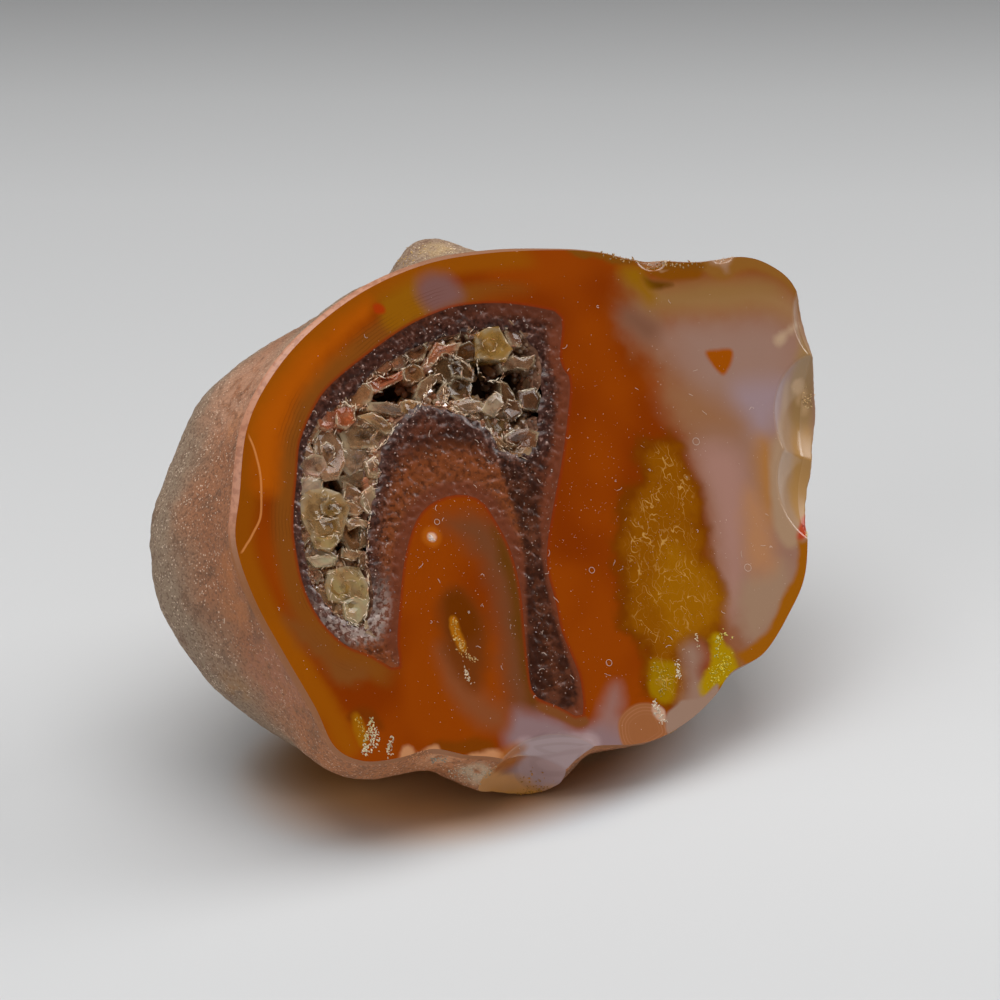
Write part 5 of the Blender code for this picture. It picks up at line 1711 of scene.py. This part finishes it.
def string_flakes(lists, path, gap, depth, closed):
    """Lay flakes along a path, with gaps, small turns and changes of size."""
    corners = np.array(path + path[:1] if closed else path)
    steps = np.linalg.norm(np.diff(corners, axis=0), axis=1)
    reach = np.concatenate(([0.0], np.cumsum(steps)))
    for at in np.arange(0.0, reach[-1], gap):
        if draw.uniform() < BARE_SHARE:
            continue
        spot = np.array([np.interp(at, reach, column) for column in corners.T])
        part = min(np.searchsorted(reach, at, side="right") - 1, len(steps) - 1)
        along = (corners[part + 1] - corners[part]) / steps[part] + draw.normal(0.0, 0.45, 2)
        centre = np.array((*(spot + draw.normal(0.0, 0.07, 2)), max(depth + draw.normal(0.0, 0.08), 0.06)))
        points, faces = flake(centre, along, draw.uniform(*EDGE_FLAKE), draw.uniform(*EDGE_STRETCH))
        points[:, 2] = np.maximum(points[:, 2], 0.0)
        tint = stained(FLAKE_TINTS[draw.integers(len(FLAKE_TINTS))]) * draw.uniform(*FLAKE_SHADE)
        add_solid(lists, points, faces, tint, EDGE_RIM)


def scatter_glints(lists):
    """Tiny pale splinters over the druse as painted glints, densest beside the pocket and in the leg."""
    low, high = druse_outline.min(axis=0), druse_outline.max(axis=0)
    spots = draw.uniform(low, high, (GLINT_TRIES, 2))
    from_pocket = -inside_distance(spots, pocket_rim)
    chance = GLINT_CHANCE + GLINT_BESIDE * np.exp(-from_pocket / GLINT_REACH)
    chance += GLINT_IN_LEG * (inside_distance(spots, leg_heart) > 0.0)
    keep = (inside_distance(spots, druse_outline) > GLINT_CLEARANCE) & (from_pocket > 0.0)
    for spot in spots[keep & (draw.uniform(0.0, 1.0, GLINT_TRIES) < chance)]:
        centre = np.array((*spot, draw.uniform(0.0, 0.08)))
        points, faces = flake(centre, draw.normal(0.0, 1.0, 2), draw.uniform(*GLINT_SIZE))
        points[:, 2] = np.maximum(points[:, 2], -0.02)
        tint = surface(GLINT_TINTS[draw.integers(len(GLINT_TINTS))]) * draw.uniform(0.25, 1.0) ** 1.5
        add_solid(lists, points, faces, tint, FACE_RIM)


def make_flakes():
    """All broken rims and glints as one piece."""
    lists = empty_lists()
    scatter_glints(lists)
    for path in RIM_PATHS.values():
        string_flakes(lists, path, FLAKE_GAP, PATH_DEPTH, False)
    for _, depth, outline in BLOCKS.values():
        string_flakes(lists, outline, BLOCK_FLAKE_GAP, depth - BLOCK_LIFT, True)
    return make_joined("broken_rims", lists)


flakes = make_flakes()
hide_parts("agate")

# %% [markdown]
# ## Finish of the crystals
#
# Quartz is clear, but these crystals are cloudy and stained. So each is partly
# see-through, with its own tint and fine cloudy veils. The rims are paler,
# because a broken edge scatters the light.

# %% Materials of the crystals
QUARTZ_IOR = 1.544
STAIN_BROWN = (112, 68, 38)
VEIL_CREAM = (214, 186, 156)
# Piece, clearness, roughness, screen colour of the rims, and the rim mark where that begins.
QUARTZES = {
    "clouded quartz": (large_crystals, 0.66, 0.07, (230, 204, 166), 0.55),
    "lining quartz": (lining, 0.30, 0.16, (190, 172, 150), 0.85),
    "frosted quartz": (flakes, 0.0, 0.35, (226, 214, 192), 0.5),
}


def own_tint(tree):
    """The tint that each small solid was given."""
    return add(tree, "ShaderNodeAttribute", attribute_name="tint").outputs["Color"]


def make_crystal_material(name, clearness, roughness, rim_colour, rim_start):
    """Cloudy quartz: tint, veils and pale rims over a plain see-through part."""
    material, tree, shader = new_material(name)
    veils = cloud(tree, 0.9, 4.0)
    colour = paint(tree, own_tint(tree), STAIN_BROWN, ramp(tree, cloud(tree, 1.7, 3.0), 0.5, 0.72), 0.65)
    colour = paint(tree, colour, VEIL_CREAM, ramp(tree, veils, 0.55, 0.75), 0.4)
    edge = times(tree, ramp(tree, stored(tree, "rim"), rim_start, 1.0), ramp(tree, veils, 0.35, 0.6))
    fill(tree, shader, {
        "Base Color": paint(tree, colour, rim_colour, edge, 0.8),
        "Transmission Weight": clearness,
        "Roughness": roughness,
        "IOR": QUARTZ_IOR,
        "Normal": bumps(tree, cloud(tree, 0.35, 2.0), 0.25, 0.0001),
    })
    return material


for name, (piece, *finish) in QUARTZES.items():
    piece.data.materials.append(make_crystal_material(name, *finish))
print("crystal finishes:", ", ".join(QUARTZES))

# %% [markdown]
# ## Inclusions and crusts
#
# Small bright bodies lie in the face and along its edge: golden and white
# inclusions in the eye, a branching one at the lower left, yellow crust at the
# lower right, and loose cream grains where the edge is broken. Each is a
# cluster of flakes scattered along a short path.

# %% Clusters of flakes
# Colour on screen, spread in millimetres, number of flakes, and the path.
CLUSTERS = {
    "eye_gold": ((200, 150, 52), 0.42, 46, [(-11.8, -8.3), (-11.9, -9.5), (-11.8, -10.8), (-11.8, -11.8)]),
    "eye_cream": ((214, 176, 110), 0.38, 44, [
        (-12.0, -10.5), (-11.9, -11.6), (-11.5, -12.3), (-10.9, -13.1)]),
    "eye_white": ((220, 196, 160), 0.28, 26, [(-12.1, -13.4), (-12.2, -14.2), (-11.9, -15.3)]),
    "branch_high": ((206, 188, 132), 0.34, 60, [(-23.3, -15.5), (-23.9, -16.6), (-24.9, -17.4)]),
    "branch_middle": ((214, 198, 160), 0.55, 110, [
        (-23.7, -16.5), (-23.6, -17.5), (-24.7, -18.2), (-25.2, -18.5)]),
    "branch_right": ((206, 186, 150), 0.35, 44, [(-22.0, -18.1), (-22.7, -18.8), (-22.8, -19.6)]),
    "branch_yellow": ((190, 140, 20), 0.30, 24, [(-24.8, -15.2), (-24.7, -16.2), (-25.2, -17.1)]),
    "cone_cream": ((222, 204, 178), 0.40, 60, [(6.5, -22.0), (6.6, -23.0), (6.9, -24.2)]),
    "low_cream": ((218, 200, 170), 0.28, 34, [(10.5, -18.4), (10.3, -19.4), (10.1, -20.4)]),
    "low_speck": ((214, 190, 150), 0.20, 14, [(13.5, -16.6), (13.4, -17.4), (13.1, -18.0)]),
    "moss_yellow": ((176, 140, 20), 0.80, 60, [(8.1, -18.4), (8.4, -20.1), (7.6, -21.6)]),
    "crust_yellow": ((206, 180, 20), 0.80, 90, [(13.6, -21.5), (15.1, -20.6), (16.3, -19.9)]),
    "crust_pale": ((206, 190, 90), 0.35, 40, [(14.9, -19.3), (15.7, -17.8), (16.6, -17.2), (17.3, -18.0)]),
    "top_crumbs": ((176, 140, 88), 0.45, 90, [
        (16.8, 23.4), (18.9, 22.6), (21.0, 21.8), (23.1, 21.0), (25.3, 20.4), (27.6, 20.0)]),
    "dot": ((226, 206, 196), 0.22, 18, [(-11.4, 0.1), (-11.1, -0.4)]),
}
CLUSTER_FLAKE = (0.08, 0.22)
FLAT_DEPTH = 0.05                  # grains on the face stand no higher than this
CHIP_SLOPE = 1.2                   # how fast a place beyond the edge lies deeper
CRUST_JITTER = 0.4                 # grains of a crust lie this far from the points of the rind
# Crusts on the broken edge and on the rind: colour, place as (u, v, depth), radius, number.
CRUSTS = {
    "ridge_cream": ((214, 176, 120), (36.0, 3.6, 1.8), 1.5, 70),
    "nick_left": ((214, 186, 160), (22.4, 20.9, 0.5), 1.0, 60),
    "nick_left_edge": ((226, 204, 180), (23.8, 20.9, 0.2), 1.0, 50),
    "nick_right": ((206, 180, 156), (30.2, 19.4, 0.6), 1.3, 70),
    "nick_right_edge": ((226, 206, 184), (31.6, 19.6, 0.2), 0.9, 30),
    "lip_crust_left": ((206, 190, 164), (-14.4, -22.9, 3.6), 1.8, 120),
    "lip_crust_right": ((200, 180, 150), (-12.2, -23.6, 2.8), 1.8, 120),
    "lip_pink": ((222, 158, 110), (-19.6, -20.4, 0.4), 1.8, 70),
    "lip_grey": ((176, 170, 150), (-17.2, -21.2, 1.8), 1.3, 60),
    "lip_gold": ((196, 140, 50), (-6.4, -26.0, 5.7), 2.4, 110),
    "red_corner": ((196, 70, 40), (29.7, -9.0, 0.8), 0.7, 30),
    "white_corner": ((226, 206, 140), (29.5, -9.9, 0.5), 0.7, 26),
    "spur": ((206, 150, 60), (7.6, -25.2, 0.8), 0.9, 24),
    "knob": ((214, 190, 150), (1.2, 28.4, 4.4), 3.2, 70),
    "knob_side": ((200, 160, 90), (-1.4, 28.7, 5.2), 2.6, 40),
}


def on_surface(spots):
    """Places on the face or, where a chip is, on the chip's hollow."""
    level = np.column_stack((spots, np.zeros(len(spots))))
    level[:, 2] = np.maximum(-inside_distance(spots, thin_edge), 0.0) * CHIP_SLOPE
    return push_out_of_chips(level)[0]


def add_grain(lists, centre, tint):
    """One flake of a cluster or a crust, with its own shade."""
    points, faces = flake(centre, draw.normal(0.0, 1.0, 2), draw.uniform(*CLUSTER_FLAKE))
    if centre[2] < FLAT_DEPTH:
        points[:, 2] = np.maximum(points[:, 2], centre[2] - FLAT_DEPTH)
    add_solid(lists, points, faces, surface(tint) * draw.uniform(0.6, 1.05), FACE_RIM)


def make_clusters():
    """All inclusions and crusts as one piece."""
    lists = empty_lists()
    for tint, spread, count, path in CLUSTERS.values():
        path = np.array(path)
        along = draw.uniform(0.0, len(path) - 1.0, count)
        spots = np.column_stack([np.interp(along, np.arange(len(path)), column) for column in path.T])
        spots += draw.normal(0.0, spread / 2, spots.shape)
        for centre in on_surface(spots):
            add_grain(lists, centre, tint)
    for tint, middle, radius, count in CRUSTS.values():
        reach = np.linalg.norm(rind_at - np.array(middle), axis=1)
        near = np.flatnonzero(reach < radius * draw.uniform(0.3, 1.0, len(reach)))
        for index in draw.choice(near, min(count, len(near)), replace=False):
            aside = rind_at[draw.choice(near)] - rind_at[index]
            step = draw.uniform(0.0, CRUST_JITTER) / (np.linalg.norm(aside) + 1e-6)
            add_grain(lists, rind_at[index] + aside * step, tint)
    return make_joined("inclusions", lists)


inclusions = make_clusters()
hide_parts("agate")

# %% [markdown]
# ## Dust and lint
#
# The polish shows every speck. Fine white dust lies all over the face, thicker
# in its middle, with a few short curled fibres.

# %% Dust and lint
DUST_COUNT = 1700
DUST_SIZE = (0.022, 0.072)
LINT_COUNT = 60
LINT_STEPS = 6
LINT_WIDTH = 0.020                 # half the width of a fibre
LIE = -0.02                        # depth of flat things that lie on the face
# Small pale rings in the polish: place and radius.
RINGS = [(-10.2, 1.3, 0.28), (4.5, -7.5, 0.3), (20.5, 2.3, 0.38), (21.6, -11.6, 0.38), (3.1, -16.9, 0.32)]
RING_POINTS = 14
RING_SHADE = 0.8
DUST_TINT = (222, 196, 178)
DUST_CLEARANCE = 0.8               # millimetres from the edge that stay clean
DUST_MIDDLE, DUST_SPREAD = (0.0, -2.0), (17.0, 13.0)   # where the dust is thickest


def dust_spots(count):
    """Random spots on the face, away from its edge and out of the pocket."""
    spots = draw.normal(DUST_MIDDLE, DUST_SPREAD, (count * 3, 2))
    keep = inside_distance(spots, thin_edge) > DUST_CLEARANCE
    keep &= inside_distance(spots, pocket_rim) < 0.0
    return spots[keep][:count]


def lint(start):
    """A short curled ribbon that lies on the face."""
    heading = draw.uniform(0.0, 2 * pi)
    curl = draw.normal(0.0, 0.35)
    step = draw.uniform(0.05, 0.13)
    path = [np.array(start)]
    for _ in range(LINT_STEPS):
        heading += curl + draw.normal(0.0, 0.25)
        path.append(path[-1] + step * np.array((cos(heading), sin(heading))))
    path = np.array(path)
    side = np.gradient(path, axis=0)[:, ::-1] * (1, -1)
    side *= LINT_WIDTH / np.linalg.norm(side, axis=1, keepdims=True)
    return ribbon(path + side, path - side, LINT_STEPS)


def ribbon(one, other, steps):
    """A flat strip on the face between two rows of points, with so many faces."""
    count = len(one)
    points = np.column_stack((np.vstack((one, other)), np.full(2 * count, LIE)))
    return points, [(i, (i + 1) % count, count + (i + 1) % count, count + i) for i in range(steps)]


def make_dust():
    """Dust and lint as one piece."""
    lists = empty_lists()
    tint = surface(DUST_TINT)
    spots = dust_spots(DUST_COUNT)
    for centre in on_surface(spots):
        points, faces = flake(centre, draw.normal(0.0, 1.0, 2), draw.uniform(*DUST_SIZE))
        add_solid(lists, points, faces, tint * draw.uniform(0.5, 1.15), FACE_RIM)
    for start in dust_spots(LINT_COUNT):
        points, faces = lint(start)
        add_solid(lists, points, faces, tint * draw.uniform(0.6, 1.0), [0.0] * len(points))
    for u, v, radius in RINGS:
        turn = np.arange(RING_POINTS) * 2 * pi / RING_POINTS
        loop = np.column_stack((np.cos(turn), np.sin(turn)))
        outer, inner = ((u, v) + loop * (radius + side * LINT_WIDTH) for side in (1, -1))
        points, faces = ribbon(outer, inner, RING_POINTS)
        add_solid(lists, points, faces, tint * RING_SHADE, [0.0] * len(points))
    return make_joined("dust", lists)


dust = make_dust()
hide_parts("agate")

# %% [markdown]
# ## Finish of the inclusions and the dust
#
# These bodies are too small to need more than a colour. Each keeps the tint
# that it was given, and the dust is the more matte of the two.

# %% Materials of the inclusions and the dust
def make_flake_material(name, roughness):
    """Plain matte flakes, each with its own tint."""
    material, tree, shader = new_material(name)
    fill(tree, shader, {"Base Color": own_tint(tree), "Roughness": roughness})
    return material


inclusions.data.materials.append(make_flake_material("inclusion flakes", 0.45))
dust.data.materials.append(make_flake_material("pale dust", 0.8))
print("flakes and dust finished")

# %% [markdown]
# ## The paper
#
# The stone stands on plain paper. Its colour is painted darker away from the
# camera, as painted shade where the lamps' light falls off. Painted shadows and
# a painted glow, where the stone takes light away or lets it through, colour the
# paper in a few soft spots beside it. The paper is part of the stage and not of the stone.

# %% Paper
PAPER_SIZE = 6.0
# How far from the origin, in metres away from the camera, and how bright the paper is
# painted there: painted shade for the light that falls off away from the camera.
PAPER_PAINTED_FALLOFF = (
    (-0.10, 0.63), (-0.048, 0.63), (-0.021, 0.642), (0.043, 0.565), (0.127, 0.46),
    (0.161, 0.38), (0.199, 0.25))
STONE_WIDE = 0.7                   # distances along the stone count this much
# Painted shadows and a painted glow that the stone throws onto the paper, in millimetres:
# the middle, where it is full, where it ends, and the colour that the paper is multiplied with.
PAINTED_SHADOWS_AND_GLOW = (
    ((-9.0, -7.5, 0.0), 10.0, 19.0, (1.0, 0.52, 0.22, 1.0)),
    ((-20.0, -2.5, 0.0), 3.0, 9.0, (0.55, 0.48, 0.38, 1.0)),
    ((0.0, -10.5, 0.0), 3.0, 7.0, (1.5, 1.9, 2.3, 1.0)),
    ((-6.0, -19.0, 0.0), 3.0, 10.0, (0.82, 0.84, 0.88, 1.0)),
)
scene = bpy.context.scene
scene.view_settings.view_transform = "Standard"

sheet = bmesh.new()
bmesh.ops.create_grid(sheet, x_segments=1, y_segments=1, size=PAPER_SIZE / 2)
paper_mesh = bpy.data.meshes.new("paper")
sheet.to_mesh(paper_mesh)
sheet.free()
paper = bpy.data.objects.new("paper", paper_mesh)
scene.collection.objects.link(paper)

paper_material, tree, shader = new_material("paper with painted falloff")
away = (-towards_camera.x, -towards_camera.y, 0.0)
level = sqrt(away[0] ** 2 + away[1] ** 2)
position = add(tree, "ShaderNodeVectorMath", {0: place(tree), 1: [n / level for n in away]},
               operation="DOT_PRODUCT").outputs["Value"]
first_shade, last_shade = PAPER_PAINTED_FALLOFF[0][0], PAPER_PAINTED_FALLOFF[-1][0]
along = add(tree, "ShaderNodeMapRange", {0: position, 1: first_shade, 2: last_shade}).outputs[0]
shades = add(tree, "ShaderNodeValToRGB", {0: along})
stops = shades.color_ramp.elements
while len(stops) < len(PAPER_PAINTED_FALLOFF):
    stops.new(0.5)
for stop, (where, shade) in zip(stops, PAPER_PAINTED_FALLOFF):
    stop.position = (where - first_shade) / (last_shade - first_shade)
    stop.color = (shade, shade, shade, 1.0)
squeezed = add(tree, "ShaderNodeVectorMath", {0: place(tree), 1: (STONE_WIDE, 1.0, 1.0)},
               operation="MULTIPLY").outputs[0]
paper_colour = shades.outputs[0]
# Painted shadows and painted glow beside the stone.
for (x, y, z), full, end, colour in PAINTED_SHADOWS_AND_GLOW:
    reach = distance_to(tree, (x * STONE_WIDE * MM, y * MM, z), squeezed)
    spot = {0: ramp(tree, reach, end * MM, full * MM), 6: paper_colour, 7: colour}
    paper_colour = add(tree, "ShaderNodeMix", spot, data_type="RGBA", blend_type="MULTIPLY").outputs[2]
fill(tree, shader, {"Base Color": paper_colour, "Roughness": 0.9, "Specular IOR Level": 0.1})
paper_mesh.materials.append(paper_material)
print("paper:", PAPER_SIZE, "m, with", len(PAINTED_SHADOWS_AND_GLOW), "soft spots")

# %% [markdown]
# ## The light
#
# A large soft lamp hangs over the stone, a little behind, so the shadow falls
# to the front. Two weaker ones stand at its sides. The polished face would
# mirror a bright sky to the camera, so the sky lights the stone but isn't seen
# in reflections.

# %% Lamps and sky
AIM = Vector((0.0, 0.0, 0.02))     # all lamps point at the stone
SKY = (0.245, 0.251, 0.257, 1.0)
# Place in metres, side of the square lamp in metres, power in watts.
LAMPS = {
    "overhead": ((0.04, 0.12, 0.74), 0.75, 4.8),
    "left": ((-0.8, -0.1, 0.5), 0.5, 1.4),
    "right": ((0.75, 0.0, 0.5), 0.5, 3.0),
}

for name, (where, size, power) in LAMPS.items():
    light = bpy.data.lights.new(name, "AREA")
    light.size = size
    light.energy = power
    lamp = bpy.data.objects.new(name, light)
    lamp.location = where
    lamp.rotation_euler = (AIM - Vector(where)).to_track_quat("-Z", "Y").to_euler()
    scene.collection.objects.link(lamp)
world = bpy.data.worlds.new("sky")
world.use_nodes = True
world.node_tree.nodes["Background"].inputs["Color"].default_value = SKY
world.cycles_visibility.glossy = False
scene.world = world
print("lamps:", ", ".join(LAMPS))
